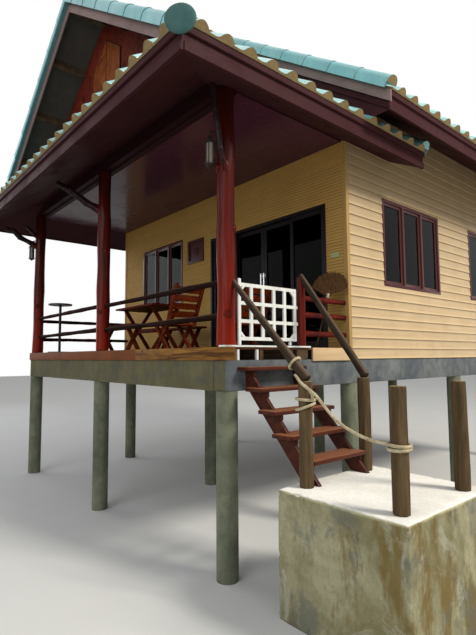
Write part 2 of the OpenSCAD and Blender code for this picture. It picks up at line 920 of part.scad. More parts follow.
// Roof coverings
// The front slope dies under the gable, inset there by the covering's thickness
module roof_front() {
    inset = roof_t / pitch;
    x_in = porch_side - (gable_front + porch_front) - inset;
    right = [[porch_side, -porch_front], [hip_x, -gable_reach], [hip_x - inset, -gable_reach], [x_in, gable_front]];
    left = [for (i = [3:-1:0]) [2 * ridge_x - right[i][0], right[i][1]]];
    color([0.35, 0.62, 0.60])
    front_sheet(concat(right, left), -porch_front, gable_front, porch_eave_z, pitch, roof_t);
}

module roof_porch() {
    side_sheet([[porch_side, -porch_front], [porch_side, return_y], [wall_right, return_y],
        [wall_right, wall_front], [ridge_x, wall_front], [ridge_x, -gable_reach], [hip_x, -gable_reach]],
        porch_side, ridge_x, porch_eave_z, pitch, roof_t);
}

module roof_porch_right() {
    color([0.35, 0.62, 0.60]) roof_porch();
}

module roof_porch_left() {
    color([0.35, 0.62, 0.60]) mirrored() roof_porch();
}

module roof_main() {
    along_y(verge_front, verge_back)
        polygon([[main_side, main_eave_z], [ridge_x, main_ridge_z], [ridge_x, main_ridge_z + roof_t],
            [main_side, main_eave_z + roof_t]]);
}

module roof_main_right() {
    color([0.35, 0.62, 0.60]) roof_main();
}

module roof_main_left() {
    color([0.35, 0.62, 0.60]) mirrored() roof_main();
}

// Purlins under both roofs, seated in notches of the gable walls
module purlin(x, z, y0, y1, lift) {
    r = purlin_w / 2;
    along_y(y0, y1) polygon([[x - r, z + pitch * r - purlin_h], [x + r, z - pitch * r - purlin_h],
        [x + r, z - pitch * r + lift], [x - r, z + pitch * r + lift]]);
}

module ridge_purlin(z, y0, y1, lift) {
    r = purlin_w;
    along_y(y0, y1) polygon([[ridge_x - r, z - pitch * r - purlin_h], [ridge_x + r, z - pitch * r - purlin_h],
        [ridge_x + r, z - pitch * r + lift], [ridge_x, z + lift], [ridge_x - r, z - pitch * r + lift]]);
}

purlin_x = [ridge_x * 0.75, ridge_x * 0.48, ridge_x * 0.21];

module purlin_set(lift) {
    both_sides() for (x = purlin_x) {
        purlin(x, porch_z(x), -gable_reach, wall_front, lift);
        purlin(x, main_z(x), verge_front, verge_back, lift);
    }
    ridge_purlin(porch_ridge_z, -gable_reach, wall_front, lift);
    ridge_purlin(main_ridge_z, verge_front, verge_back, lift);
}

module purlins() {
    color([0.30, 0.22, 0.20]) purlin_set(-seat_gap);
}

// The same shapes raised through a wall's top, to cut its notches
module notches() {
    purlin_set(purlin_h);
}

// Gable wall over the front beam, with a pointed two-leaf panel
panel_half = 400;
leaf_half = 150;
panel_top = porch_ridge_z - 325;
panel_side = porch_ridge_z - 645;
panel_low = porch_ridge_z - 1475;

module gable_wall() {
    base = post_top + porch_beam_h;
    color([0.62, 0.30, 0.17]) {
        difference() {
            along_y(gable_front, gable_back) polygon([[left_x, base], [0, base], [0, porch_z(0)],
                [ridge_x, porch_ridge_z], [left_x, porch_z(0)]]);
            notches();
        }
        along_y(gable_front - 20, gable_front) translate([ridge_x, 0]) difference() {
            polygon([[-panel_half, panel_low], [panel_half, panel_low], [panel_half, panel_side],
                [0, panel_top], [-panel_half, panel_side]]);
            for (s = [-1, 1]) translate([s * panel_half / 2, 0])
                polygon([[-leaf_half, panel_low + 70], [leaf_half, panel_low + 70],
                    [leaf_half, panel_side - 20 - s * 60], [-leaf_half, panel_side - 20 + s * 60]]);
        }
    }
}

// Barge boards under the verges
module barge(x_low, y0, y1, z_low, floor_low) {
    intersection() {
        along_y(y0, y1) for (s = [0, 1]) translate([2 * ridge_x * s, 0]) mirror([s, 0])
            polygon([[ridge_x, z_low + pitch * (x_low - ridge_x)], [x_low, z_low], [x_low, z_low - barge_h],
                [ridge_x, z_low + pitch * (x_low - ridge_x) - barge_h]]);
        box([-far, -far, floor_low], [far, far, far]);
    }
}

module barge_boards() {
    skirt_top = skirt_z(-gable_reach) + roof_t;
    color([0.50, 0.34, 0.34]) {
        barge(hip_x, -gable_reach - board_t, -gable_reach, porch_z(hip_x), skirt_top);
        barge(main_side, verge_front - board_t, verge_front, main_eave_z, 0);
        barge(main_side, verge_back, verge_back + board_t, main_eave_z, 0);
    }
}

// Round cap tiles: a filled half round with a leg on its outer side
module verge_profile(side) {
    intersection() {
        circle(r = cap_r);
        translate([-cap_r, 0]) square([2 * cap_r, cap_r]);
    }
    translate([side > 0 ? cap_r - cap_t : -cap_r, -roof_t]) square([cap_t, roof_t]);
}

// A run of cap from a low point towards a high point
module cap_run(a, b) {
    d = b - a;
    translate(a) rotate([0, 0, atan2(d[1], d[0])]) rotate([0, -atan2(d[2], norm([d[0], d[1]])), 0])
        rotate([90, 0, 90]) linear_extrude(height = norm(d)) children();
}

module verge_cap(x_low, y, low_z, top_z, side) {
    intersection() {
        cap_run([x_low, y, low_z], [ridge_x - 2 * cap_r, y, top_z + 2 * cap_r * pitch]) verge_profile(side);
        box([ridge_x, -far, 0], [far, far, far]);
    }
}

// A ridge cap sits down over both slopes
ridge_drop = 32;

module ridge_cap(roof_top, y0, y1) {
    z = roof_top + seat_gap;
    along_y(y0, y1) difference() {
        translate([ridge_x, z - ridge_drop]) circle(r = cap_r);
        polygon([[ridge_x, z], [ridge_x + 2 * cap_r, z - 2 * cap_r * pitch], [ridge_x + 2 * cap_r, z - 3 * cap_r],
            [ridge_x - 2 * cap_r, z - 3 * cap_r], [ridge_x - 2 * cap_r, z - 2 * cap_r * pitch]]);
    }
}

// A hip cap ends in a round disc over the corner of the eaves
cap_seat = roof_t + seat_gap;
disc_t = 16;
disc_out = 14;

module hip_cap() {
    low = [porch_side + disc_out, -porch_front - disc_out, porch_eave_z + roof_t];
    high = [hip_x, -gable_reach, porch_z(hip_x) + roof_t];
    drop = 40;
    intersection() {
        difference() {
            translate([0, 0, -drop]) cap_run(low, high + (high - low)) circle(r = cap_r);
            roof_front_under();
            roof_porch_under();
        }
        box([-far, -far, 0], [far, -gable_reach - cap_r - 2, far]);
    }
}

// Everything below the top of the two slopes that meet at the hip
module roof_front_under() {
    along_x(ridge_x, 2 * porch_side) polygon([[-porch_front - cap_r, 0], [gable_front, 0],
        [gable_front, skirt_z(gable_front) + cap_seat], [-porch_front, porch_eave_z + cap_seat],
        [-porch_front - cap_r, porch_eave_z + cap_seat - pitch * cap_r]]);
}

module roof_porch_under() {
    along_y(-2 * porch_front, 0) polygon([[porch_side + cap_r, 0], [ridge_x, 0], [ridge_x, porch_ridge_z + cap_seat],
        [porch_side, porch_eave_z + cap_seat], [porch_side + cap_r, porch_eave_z + cap_seat - pitch * cap_r]]);
}

module corner_disc() {
    translate([porch_side + disc_out, -porch_front - disc_out, porch_eave_z]) rotate([90, 0, 45]) {
        cylinder(r = 1.47 * cap_r, h = disc_t);
        translate([0, 0, disc_t]) cylinder(r1 = 1.25 * cap_r, r2 = 0.9 * cap_r, h = disc_t);
    }
}

gap = 2;

module roof_caps() {
    color([0.33, 0.60, 0.58]) {
        both_sides() {
            verge_cap(hip_x, -gable_reach, porch_z(hip_x) + cap_seat, porch_ridge_z + cap_seat, 1);
            verge_cap(main_side, verge_front, main_eave_z + cap_seat, main_ridge_z + cap_seat, 1);
            verge_cap(main_side, verge_back, main_eave_z + cap_seat, main_ridge_z + cap_seat, -1);
            hip_cap();
            corner_disc();
        }
        ridge_cap(porch_ridge_z + roof_t, -gable_reach + cap_r + gap, wall_front);
        ridge_cap(main_ridge_z + roof_t, verge_front + cap_r + gap, verge_back - cap_r - gap);
    }
}

// Veranda furniture: a table and benches on crossed legs, and two chairs with sloped backs
leg_w = 62;

// Two crossed boards that stand across the Y axis
module crossed(half, h, t) {
    for (s = [-1, 1]) along_y(-t / 2, t / 2) polygon([[-s * half - leg_w / 2, 0], [-s * half + leg_w / 2, 0],
        [s * half + leg_w / 2, h], [s * half - leg_w / 2, h]]);
}

top_t = 30;
table_at = [ridge_x - 290, 1020];
table_l = 1300;
table_w = 700;
table_h = 760;
brace_z = 320;

module slab(l, w, h) {
    box([-l / 2, -w / 2, h - top_t], [l / 2, w / 2, h]);
}

module picnic_table() {
    slab(table_l, table_w, table_h);
    for (s = [-1, 1]) translate([s * (table_l / 2 - 190), 0, 0]) rotate(90) crossed(250, table_h - top_t, 45);
    box([190 - table_l / 2, -25, brace_z], [table_l / 2 - 190, 25, brace_z + 70]);
}

bench_h = 420;
bench_w = 260;
bench_off = 590;

module bench() {
    slab(table_l, bench_w, bench_h);
    for (s = [-1, 1]) translate([s * (table_l / 2 - 190), 0, 0]) rotate(90) crossed(100, bench_h - top_t, 40);
}

chair_at = [[0.64 * ridge_x, 590], [0.45 * ridge_x, 1400]];
chair_h = 380;
chair_w = 480;
chair_l = 440;
back_h = 900;
back_lean = 230;
back_boards = 4;
stile_t = 34;

// The chair's back leans away from its front, which looks along -X
module chair_back() {
    rise = back_h - chair_h;
    tilt = atan2(back_lean, rise);
    slope = norm([back_lean, rise]);
    for (y = [-chair_w / 2, chair_w / 2 - stile_t]) along_y(y, y + stile_t)
        polygon([[chair_l / 2 - leg_w, chair_h - top_t], [chair_l / 2, chair_h - top_t],
            [chair_l / 2 + back_lean, back_h], [chair_l / 2 + back_lean - leg_w, back_h]]);
    translate([chair_l / 2 - leg_w, 0, chair_h - top_t]) rotate([0, tilt, 0])
        for (i = [0:back_boards - 1]) translate([-4, -chair_w / 2, slope * (0.22 + 0.21 * i)])
            cube([24, chair_w, 0.15 * slope]);
}

module chair() {
    slab(chair_l, chair_w, chair_h);
    for (s = [-1, 1]) translate([0, s * (chair_w / 2 - 45), 0]) crossed(150, chair_h - top_t, 40);
    chair_back();
}

module picnic_set() {
    color([0.62, 0.28, 0.14]) translate([0, 0, floor_z]) {
        translate(table_at) picnic_table();
        for (s = [-1, 1]) translate(table_at + [0, s * bench_off]) bench();
        for (at = chair_at) translate(at) chair();
    }
}

bar_at = [left_x + 490, 262];
bar_h = 965;
bar_foot_d = 430;
bar_top_d = 450;

module bar_table() {
    color([0.12, 0.10, 0.10]) translate([bar_at[0], bar_at[1], floor_z]) {
        cylinder(d = bar_foot_d, h = 20);
        cylinder(d = 50, h = bar_h - 10);
        translate([0, 0, bar_h - 26]) cylinder(d = bar_top_d, h = 26);
    }
}

// Lanterns hung from brackets on the near and the far post
lantern_at = [[-30, -190], [left_x - 175, -115]];
lantern_z = floor_z + 1940;
lantern_h = 250;
lantern_d = 126;
bracket_t = 14;
bar_w = 20;
bar_low = 110;

module lantern(at, post_x) {
    out = [at[0] - post_x, at[1]];
    translate([at[0], at[1], lantern_z]) {
        cylinder(d = lantern_d * 0.66, h = lantern_h, $fn = 6);
        translate([0, 0, lantern_h]) cylinder(d1 = lantern_d, d2 = 30, h = 60, $fn = 24);
        translate([0, 0, -22]) cylinder(d1 = 24, d2 = lantern_d * 0.7, h = 22, $fn = 24);
        cylinder(d = bracket_t, h = lantern_h + bar_low + bar_w / 2);
    }
    translate([post_x, 0, lantern_z + lantern_h + bar_low]) rotate([0, 0, atan2(out[1], out[0])]) {
        translate([0, -bar_w / 2, 0]) cube([norm(out) + bar_w / 2, bar_w, bar_w]);
        translate([0, -24, -150]) cube([post_d / 2 + 6, 48, 220]);
    }
}

module wall_lantern() {
    color([0.16, 0.12, 0.12])
    difference() {
        union() {
            lantern(lantern_at[0], 0);
            lantern(lantern_at[1], left_x);
        }
        all_post_logs();
    }
}

// Gate: a lattice of flat bars whose first bar is a tall stile that turns on a pin at its foot and its head
gate_x = 62;
pivot_y = 124;
pin_d = 10;
pin_l = 26;
pin_gap = 0.3;
washer_t = 5;
stile_low = floor_z + sill_t + washer_t + pin_gap;
stile_top = floor_z + gate_low + gate_h + 45;
lattice_low = floor_z + gate_low;
rail_places = [0, 0.323, 0.658, 1];
rail_past = 24;
wheel_d = 42;
wheel_y = gate_w - 105;
strap_t = 6;

module gate_box(y0, z0, y1, z1) {
    box([-gate_t / 2, y0, z0], [gate_t / 2, y1, z1]);
}

module brace(y0, z0, y1, z1) {
    d = [y1 - y0, z1 - z0];
    w = gate_bar * 0.7;
    translate([0, y0, z0]) rotate([atan2(d[1], d[0]), 0, 0])
        translate([-gate_t / 2, 0, -w / 2]) cube([gate_t, norm(d), w]);
}

module gate_wheel() {
    translate([0, wheel_y, floor_z + sill_t + 5 + wheel_d / 2]) {
        rotate([0, 90, 0]) cylinder(d = wheel_d, h = 16, center = true);
        translate([-6, -9, 0]) cube([12, 18, lattice_low - floor_z - sill_t - 5 - wheel_d / 2 + eps]);
    }
}

module lattice() {
    bar_gap = (gate_w - gate_bar) / (gate_bars - 1);
    high = lattice_low + gate_h;
    reach = 105;
    for (i = [1:gate_bars - 1]) gate_box(i * bar_gap, lattice_low, i * bar_gap + gate_bar, high);
    for (i = [0:len(rail_places) - 1]) {
        z = lattice_low + rail_places[i] * (gate_h - gate_bar);
        past = i == 0 || i == len(rail_places) - 1 ? 0 : rail_past;
        gate_box(0, z, gate_w + past, z + gate_bar);
    }
    brace(gate_w - reach, high - 12, gate_w - 12, high - reach);
    brace(12, high - reach, reach, high - 12);
    brace(12, lattice_low + reach, reach, lattice_low + 12);
    brace(gate_w - reach, lattice_low + 12, gate_w - 12, lattice_low + reach);
    gate_wheel();
}

module pin_holes() {
    for (z = [stile_low - eps, stile_top - pin_l])
        translate([gate_x, pivot_y, z]) cylinder(d = pin_d + 2 * pin_gap, h = pin_l + eps);
}

module gate() {
    color([0.93, 0.93, 0.90]) difference() {
        translate([gate_x, pivot_y - gate_bar / 2, 0]) {
            lattice();
            gate_box(0, stile_low, gate_bar, stile_top);
        }
        pin_holes();
    }
}

// The foot pin stands on the threshold, and the head pin hangs from a strap let into the post
module gate_hinges() {
    color([0.30, 0.30, 0.30]) {
        translate([gate_x, pivot_y, floor_z + sill_t]) {
            cylinder(d = 2 * pin_d, h = washer_t);
            cylinder(d = pin_d, h = washer_t + pin_l - 4);
        }
        difference() {
            translate([gate_x, pivot_y, stile_top + pin_gap]) {
                translate([0, 0, 4 - pin_l]) cylinder(d = pin_d, h = pin_l);
                cylinder(d = 2 * pin_d, h = strap_t);
                rotate([0, 0, atan2(-pivot_y, -gate_x)]) translate([0, -pin_d, 0])
                    cube([norm([gate_x, pivot_y]), 2 * pin_d, strap_t]);
            }
            post_log(0, 1);
        }
    }
}

columns();
long_beams();
cross_beams();
floor_joists();
veranda_floor();
house_floor();
front_edge_board();
gate_sill();
side_edge_boards();
veranda_posts();
front_porch_beam();
side_porch_beams();
gate_post();
log_rails();
side_rails();
gate_hinges();
handrails();
gate();
stair_stringers();
stair_treads();
landing_block();
landing_posts();
rope_ties();
rope_span();
front_wall_left();
front_wall_right();
front_wall_head();
upper_front_wall();
side_wall_right();
side_wall_left();
back_wall();
corner_trims();
door_frame();
door_fixed_leaves();
door_leaf_left();
door_leaf_right();
door_glass_left();
door_glass_right();
window_frames();
fixed_glass();
wall_panel();
veranda_ceiling();
house_ceiling();
front_eave();
side_eaves();
main_eaves();
roof_front();
roof_porch_right();
roof_porch_left();
roof_main_right();
roof_main_left();
roof_caps();
barge_boards();
purlins();
gable_wall();
picnic_set();
bar_table();
wall_lantern();
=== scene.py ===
"""Looks of the stilt house: tiles, boards, rope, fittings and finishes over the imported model."""
import json
import math

import bmesh
import bpy
from mathutils import Matrix, Vector, noise


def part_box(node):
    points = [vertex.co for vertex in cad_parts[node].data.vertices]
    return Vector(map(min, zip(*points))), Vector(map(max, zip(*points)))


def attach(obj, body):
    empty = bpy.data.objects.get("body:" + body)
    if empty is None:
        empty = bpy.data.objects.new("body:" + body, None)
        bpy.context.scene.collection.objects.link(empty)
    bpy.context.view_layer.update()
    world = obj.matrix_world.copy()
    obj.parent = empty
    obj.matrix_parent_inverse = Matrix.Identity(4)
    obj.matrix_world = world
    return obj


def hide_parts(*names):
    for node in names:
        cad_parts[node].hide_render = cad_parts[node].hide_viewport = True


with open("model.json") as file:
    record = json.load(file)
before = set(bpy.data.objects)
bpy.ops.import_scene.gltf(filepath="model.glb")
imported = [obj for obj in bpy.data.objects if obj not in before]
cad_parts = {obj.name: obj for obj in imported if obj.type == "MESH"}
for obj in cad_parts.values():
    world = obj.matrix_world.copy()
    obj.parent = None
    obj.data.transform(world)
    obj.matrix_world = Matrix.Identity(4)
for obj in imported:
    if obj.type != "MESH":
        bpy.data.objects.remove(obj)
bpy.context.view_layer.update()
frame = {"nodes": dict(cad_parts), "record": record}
nodes = frame["nodes"]
scene = bpy.context.scene


def placed(name, data):
    """A new object in the scene."""
    made = bpy.data.objects.new(name, data)
    scene.collection.objects.link(made)
    return made


# Camera, as fitted to the photograph
CAMERA_PLACE = Vector((3.876, -3.158, 2.255))
CAMERA_YAW = math.radians(49.43)
CAMERA_PITCH = math.radians(4.73)
CAMERA_ROLL = math.radians(-0.377)
camera_data = bpy.data.cameras.new("camera")
camera_data.sensor_width = 36
camera_data.lens = 26.82
camera = placed("camera", camera_data)
camera.matrix_world = (Matrix.Translation(CAMERA_PLACE) @ Matrix.Rotation(CAMERA_YAW, 4, "Z")
                       @ Matrix.Rotation(math.pi / 2 + CAMERA_PITCH, 4, "X")
                       @ Matrix.Rotation(CAMERA_ROLL, 4, "Z"))
scene.camera = camera

# Measures shared with the model, in metres
PITCH = 0.705
SLOPE = math.sqrt(1 + PITCH * PITCH)
BAY = 3.03
RIDGE_X = -3.03
LEFT_POST_X = 2 * RIDGE_X
BEAM_TOP = 2.218
FLOOR = 2.357
CEILING = 5.17
WALL_RIGHT = 0.105
WALL_FRONT = 1.995
WALL_BACK = 8.205
DOOR_LEFT = -2.89
DOOR_RIGHT = -0.24
DOOR_TOP = 4.387
FRONT_WINDOW = (-5.335, -3.795)
SIDE_WINDOWS = ((2.85, 4.53), (5.67, 7.35))
WINDOW_LOW = 3.262
WINDOW_TOP = 4.562
ROOF_T = 0.07
PORCH_SIDE = 0.68
PORCH_FRONT = 1.04
PORCH_EAVE = 5.11
GABLE_REACH = 0.62
GABLE_FACE = -0.055
GABLE_BASE = 5.392
HIP_X = PORCH_SIDE - (PORCH_FRONT - GABLE_REACH)
RETURN_Y = 3.075
MAIN_SIDE = 0.985
MAIN_EAVE = 5.41
VERGE_FRONT = 1.745
VERGE_BACK = 8.455
CAP_R = 0.095
EAST = Vector((1, 0, 0))
NORTH = Vector((0, 1, 0))
UP = Vector((0, 0, 1))


def on_side(x, sign):
    """A place given for the right half of the house, or its mirror image in the left half."""
    return x if sign > 0 else 2 * RIDGE_X - x


def porch_z(x):
    return PORCH_EAVE + PITCH * (PORCH_SIDE - x)


def main_z(x):
    return MAIN_EAVE + PITCH * (MAIN_SIDE - x)


def upright(a, b, depth):
    """A flat outline's point in a plane that runs along the house's front."""
    return (a, depth, b)


# Mesh helpers
BOX_FACES = [(0, 3, 2, 1), (0, 1, 5, 4), (1, 2, 6, 5), (2, 3, 7, 6), (3, 0, 4, 7), (4, 5, 6, 7)]


def settle(name, mesh, slot, body="house", replaced=None):
    """A mesh as a visible piece that rides on a body. It may stand in for one of the model's nodes."""
    piece = placed(name, mesh)
    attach(piece, body)
    if replaced:
        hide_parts(replaced)
    return piece


def soften(mesh, angle):
    """Smooth shading that keeps edges sharper than the angle."""
    mesh.polygons.foreach_set("use_smooth", [True] * len(mesh.polygons))
    work = bmesh.new()
    work.from_mesh(mesh)
    bmesh.ops.recalc_face_normals(work, faces=work.faces[:])
    for edge in work.edges:
        if len(edge.link_faces) == 2:
            edge.smooth = edge.calc_face_angle(0) < math.radians(angle)
    work.to_mesh(mesh)
    work.free()


def ring(centre, across, up, outline):
    """Points of a flat outline, given as pairs, in the plane of two directions."""
    return [centre + a * across + b * up for a, b in outline]


def circle(radius, sides):
    return [(radius * math.cos(2 * math.pi * k / sides), radius * math.sin(2 * math.pi * k / sides))
            for k in range(sides)]


def carried(path, closed=False):
    """Each point of a path, with two directions across it that turn as little as they can, and the
    length from the point to the next one."""
    path = [Vector(p) for p in path]
    count = len(path)
    across = None
    for i, point in enumerate(path):
        after = path[(i + 1) % count] if closed else path[min(i + 1, count - 1)]
        before = path[i - 1] if closed else path[max(i - 1, 0)]
        ahead = (after - before).normalized()
        across = across or ahead.orthogonal().normalized()
        across = (across - ahead * across.dot(ahead)).normalized()
        yield point, across, ahead.cross(across), (after - point).length


class Parts:
    """Collects points and faces of many small shapes for one piece."""

    def __init__(self):
        self.points = []
        self.faces = []
        self.kinds = []

    def add(self, points, faces, kind=0):
        start = len(self.points)
        self.points += [Vector(p) for p in points]
        self.faces += [tuple(start + i for i in face) for face in faces]
        self.kinds += [kind] * len(faces)

    def box(self, low, high, kind=0):
        x0, y0, z0 = low
        x1, y1, z1 = high
        self.add([(x, y, z) for z in (z0, z1) for x, y in ((x0, y0), (x1, y0), (x1, y1), (x0, y1))],
                 BOX_FACES, kind)

    def rings(self, rings, kind=0, closed=False, ends=True):
        """A skin through rings of points, closed along its length or capped at both ends."""
        sides = len(rings[0])
        count = len(rings)
        faces = []
        for i in range(count if closed else count - 1):
            for k in range(sides):
                a = i * sides + k
                b = i * sides + (k + 1) % sides
                c = ((i + 1) % count) * sides
                faces.append((a, b, c + (k + 1) % sides, c + k))
        if ends and not closed:
            faces.append(tuple(range(sides - 1, -1, -1)))
            faces.append(tuple(range((count - 1) * sides, count * sides)))
        self.add([p for one in rings for p in one], faces, kind)

    def tube(self, path, radii, sides=12, kind=0):
        """A round bar along a path, closed at both ends."""
        self.rings([ring(point, across, up, circle(radius, sides))
                    for (point, across, up, step), radius in zip(carried(path), radii)], kind)

    def lathe(self, centre, axis, profile, sides=24, kind=0):
        """A turned shape. Each row of the profile is a distance along the axis and a radius."""
        axis = Vector(axis).normalized()
        across = axis.orthogonal().normalized()
        up = axis.cross(across)
        self.rings([ring(Vector(centre) + axis * along, across, up, circle(radius, sides))
                    for along, radius in profile], kind)

    def prism(self, outline, low, high, place, kind=0):
        """A flat outline given depth. Place turns a pair and a depth into a point."""
        count = len(outline)
        points = [place(a, b, low) for a, b in outline] + [place(a, b, high) for a, b in outline]
        faces = [tuple(range(count - 1, -1, -1)), tuple(range(count, 2 * count))]
        faces += [(k, (k + 1) % count, count + (k + 1) % count, count + k) for k in range(count)]
        self.add(points, faces, kind)

    def piece(self, name, slot, replaced=None, edges=None, materials=None, body="house", smooth=False):
        """The shapes as one visible piece, in its slot's look unless it has materials of its own.
        Edges sharper than the angle in edges stay sharp."""
        mesh = bpy.data.meshes.new(name)
        mesh.from_pydata([tuple(p) for p in self.points], [], self.faces)
        for material in materials or [looks[slot]]:
            mesh.materials.append(material)
        mesh.polygons.foreach_set("material_index", self.kinds)
        mesh.polygons.foreach_set("use_smooth", [smooth] * len(mesh.polygons))
        mesh.update()
        if edges:
            soften(mesh, edges)
        return settle(name, mesh, slot, body, replaced)


# Material helpers
MIX_SHARE = 0
MIX_FIRST = 6
MIX_SECOND = 7
MIX_RESULT = 2
ALONG_X = (0.08, 1, 1)
ALONG_Y = (1, 0.08, 1)
ALONG_Z = (1, 1, 0.08)
GABLE_GRAIN = (0.3, 1, 0.3)


def tone(red, green, blue):
    """A colour on the usual 0 to 255 scale, as the shader takes it."""
    shares = (red / 255, green / 255, blue / 255)
    return tuple(((c + 0.055) / 1.055) ** 2.4 if c > 10 / 255 else c / 12.92 for c in shares)


def darker(colour, share):
    return tuple(c * share for c in colour)


class Finish:
    """A node material under construction, with its coordinates in metres at rest."""

    def __init__(self, name):
        self.material = bpy.data.materials.new(name)
        self.material.use_nodes = True
        self.tree = self.material.node_tree
        self.shader = self.tree.nodes["Principled BSDF"]
        self.coordinates = self.node("ShaderNodeTexCoord")
        self.place = self.coordinates.outputs["Object"]
        self.shade = None

    def put(self, socket, value):
        """Gives an input a number, a colour or another node's output."""
        if isinstance(value, bpy.types.NodeSocket):
            self.tree.links.new(value, socket)
        elif socket.type == "RGBA":
            socket.default_value = (*value, 1)
        else:
            socket.default_value = value

    def node(self, kind, inputs=None, **settings):
        made = self.tree.nodes.new(kind)
        for key, value in settings.items():
            setattr(made, key, value)
        for key, value in (inputs or {}).items():
            self.put(made.inputs[key], value)
        return made

    def noise(self, scale, stretch=(1, 1, 1), detail=4, rough=0.55, bend=0.0):
        mapping = self.node("ShaderNodeMapping", {"Scale": stretch, "Vector": self.place})
        inputs = {"Scale": scale, "Detail": detail, "Roughness": rough, "Distortion": bend,
                  "Vector": mapping.outputs["Vector"]}
        return self.node("ShaderNodeTexNoise", inputs).outputs["Fac"]

    def steps(self, value, low, high):
        """Value rescaled so that low gives 0 and high gives 1."""
        inputs = {"From Min": low, "From Max": high, "Value": value}
        return self.node("ShaderNodeMapRange", inputs).outputs["Result"]

    def spots(self, low, high, *noise, **more):
        """Noise rescaled so that low gives 0 and high gives 1."""
        return self.steps(self.noise(*noise, **more), low, high)

    def mix(self, share, first, second):
        """A colour between two, each a colour or a socket."""
        inputs = {MIX_SHARE: share, MIX_FIRST: first, MIX_SECOND: second}
        return self.node("ShaderNodeMix", inputs, data_type="RGBA").outputs[MIX_RESULT]

    def between(self, share, first, second):
        """A number between two, as a grey."""
        return self.mix(share, (first,) * 3, (second,) * 3)

    def cover(self, mask, colour, share=1):
        """Lays a colour over the shade so far where the mask says so, by the given share."""
        self.shade = self.mix(self.times(mask, share) if share < 1 else mask, self.shade, colour)

    def math(self, operation, first, second=0):
        return self.node("ShaderNodeMath", {0: first, 1: second}, operation=operation).outputs[0]

    def times(self, value, share):
        return self.math("MULTIPLY", value, share)

    def axis(self, name, facing=False):
        """One coordinate in metres, or how far the surface faces along that axis."""
        source = self.coordinates.outputs["Normal"] if facing else self.place
        return self.node("ShaderNodeSeparateXYZ", {0: source}).outputs[name]

    def bump(self, value, depth, strength=0.6):
        made = self.node("ShaderNodeBump", {"Strength": strength, "Distance": depth, "Height": value})
        self.put(self.shader.inputs["Normal"], made.outputs["Normal"])

    def finish(self, rough, metal=0.0, coat=0.0, gloss=0.15):
        """The material, with the shade so far as its colour."""
        for name, value in (("Base Color", self.shade), ("Roughness", rough), ("Metallic", metal),
                            ("Coat Weight", coat), ("Coat Roughness", 0.12), ("Specular IOR Level", gloss)):
            self.put(self.shader.inputs[name], value)
        return self.material


def painted_wood(name, colour, worn, rough=0.45, stretch=(1, 1, 1), wear=0.5, coat=0.0, laps=None,
                 gloss=0.15, painted_eave_shade=None):
    """Paint over boards: a little grain under it, worn and dirty in patches, darker under each lap with dirt
    and painted shade, and lighter along each board's foot with a painted highlight. The last argument gives
    the heights between which it turns darker with painted shade from the eave, and by how much."""
    colour, worn = tone(*colour), tone(*worn)
    f = Finish(name)
    patches = f.spots(0.45, 0.75, 2.2, detail=6)
    grain = f.noise(24, stretch, bend=0.4)
    f.shade = f.mix(f.steps(grain, 0.3, 0.7), colour, darker(colour, 0.85))
    f.cover(patches, worn, wear)
    if laps:
        low, pitch, dark = laps
        share = f.math("FRACT", f.math("DIVIDE", f.math("SUBTRACT", f.axis("Z"), low), pitch))
        # Darker just under each lap: dirt in the lap and painted shade
        f.cover(f.steps(share, 0.74, 0.97), darker(worn, 0.25), dark)
        # Lighter along each board's foot: a painted highlight
        f.cover(f.steps(share, 0.3, 0.04), tuple(min(c * 1.45, 0.8) for c in colour), 0.5)
    f.cover(f.spots(0.55, 0.75, 7, (1, 1, 0.16), detail=5), darker(worn, 0.8), wear * 0.5)
    # Darker towards the top of the wall: painted shade under the eave
    if painted_eave_shade:
        low, high, share = painted_eave_shade
        f.cover(f.steps(f.axis("Z"), low, high), darker(colour, 0.4), share)
    f.bump(grain, 0.002, 0.4)
    return f.finish(f.between(patches, rough, min(rough + 0.2, 1)), coat=coat, gloss=gloss)


def bare_wood(name, light, dark, stretch, rough=0.7, knots=0.0, coat=0.0, cracks=0.6, patch=None,
              top=None, gloss=0.1):
    """Wood whose grain runs along the axis with the small stretch, with cracks, knots and patches."""
    light, dark = tone(*light), tone(*dark)
    f = Finish(name)
    grain = f.noise(15, stretch, detail=6, rough=0.65, bend=0.6)
    fine = f.noise(70, stretch, detail=3)
    crack = f.spots(0.62, 0.67, 26, tuple(s * 0.5 if s < 1 else s for s in stretch), detail=3, bend=0.3)
    f.shade = f.mix(f.steps(grain, 0.33, 0.68), light, dark)
    if patch:
        f.cover(f.spots(0.5, 0.66, 3.4, stretch, detail=6), tone(*patch))
    # Faces that look up: painted highlight on rails, wear with painted light on treads, weathered post tops
    if top:
        f.cover(f.steps(f.axis("Z", True), 0.45, 0.95), tone(*top), 0.8)
    f.cover(f.steps(fine, 0.4, 0.7), darker(dark, 0.6), 0.35)
    f.cover(crack, darker(dark, 0.35), cracks)
    if knots:
        short = tuple(max(s, 0.45) for s in stretch)
        f.cover(f.spots(0.7, 0.75, 5.2, short, detail=1), darker(dark, 0.3), knots)
    f.bump(f.math("SUBTRACT", f.math("ADD", grain, f.times(fine, 0.4)), f.times(crack, 0.8)), 0.004)
    return f.finish(f.between(grain, rough, min(rough + 0.15, 1)), coat=coat, gloss=gloss)


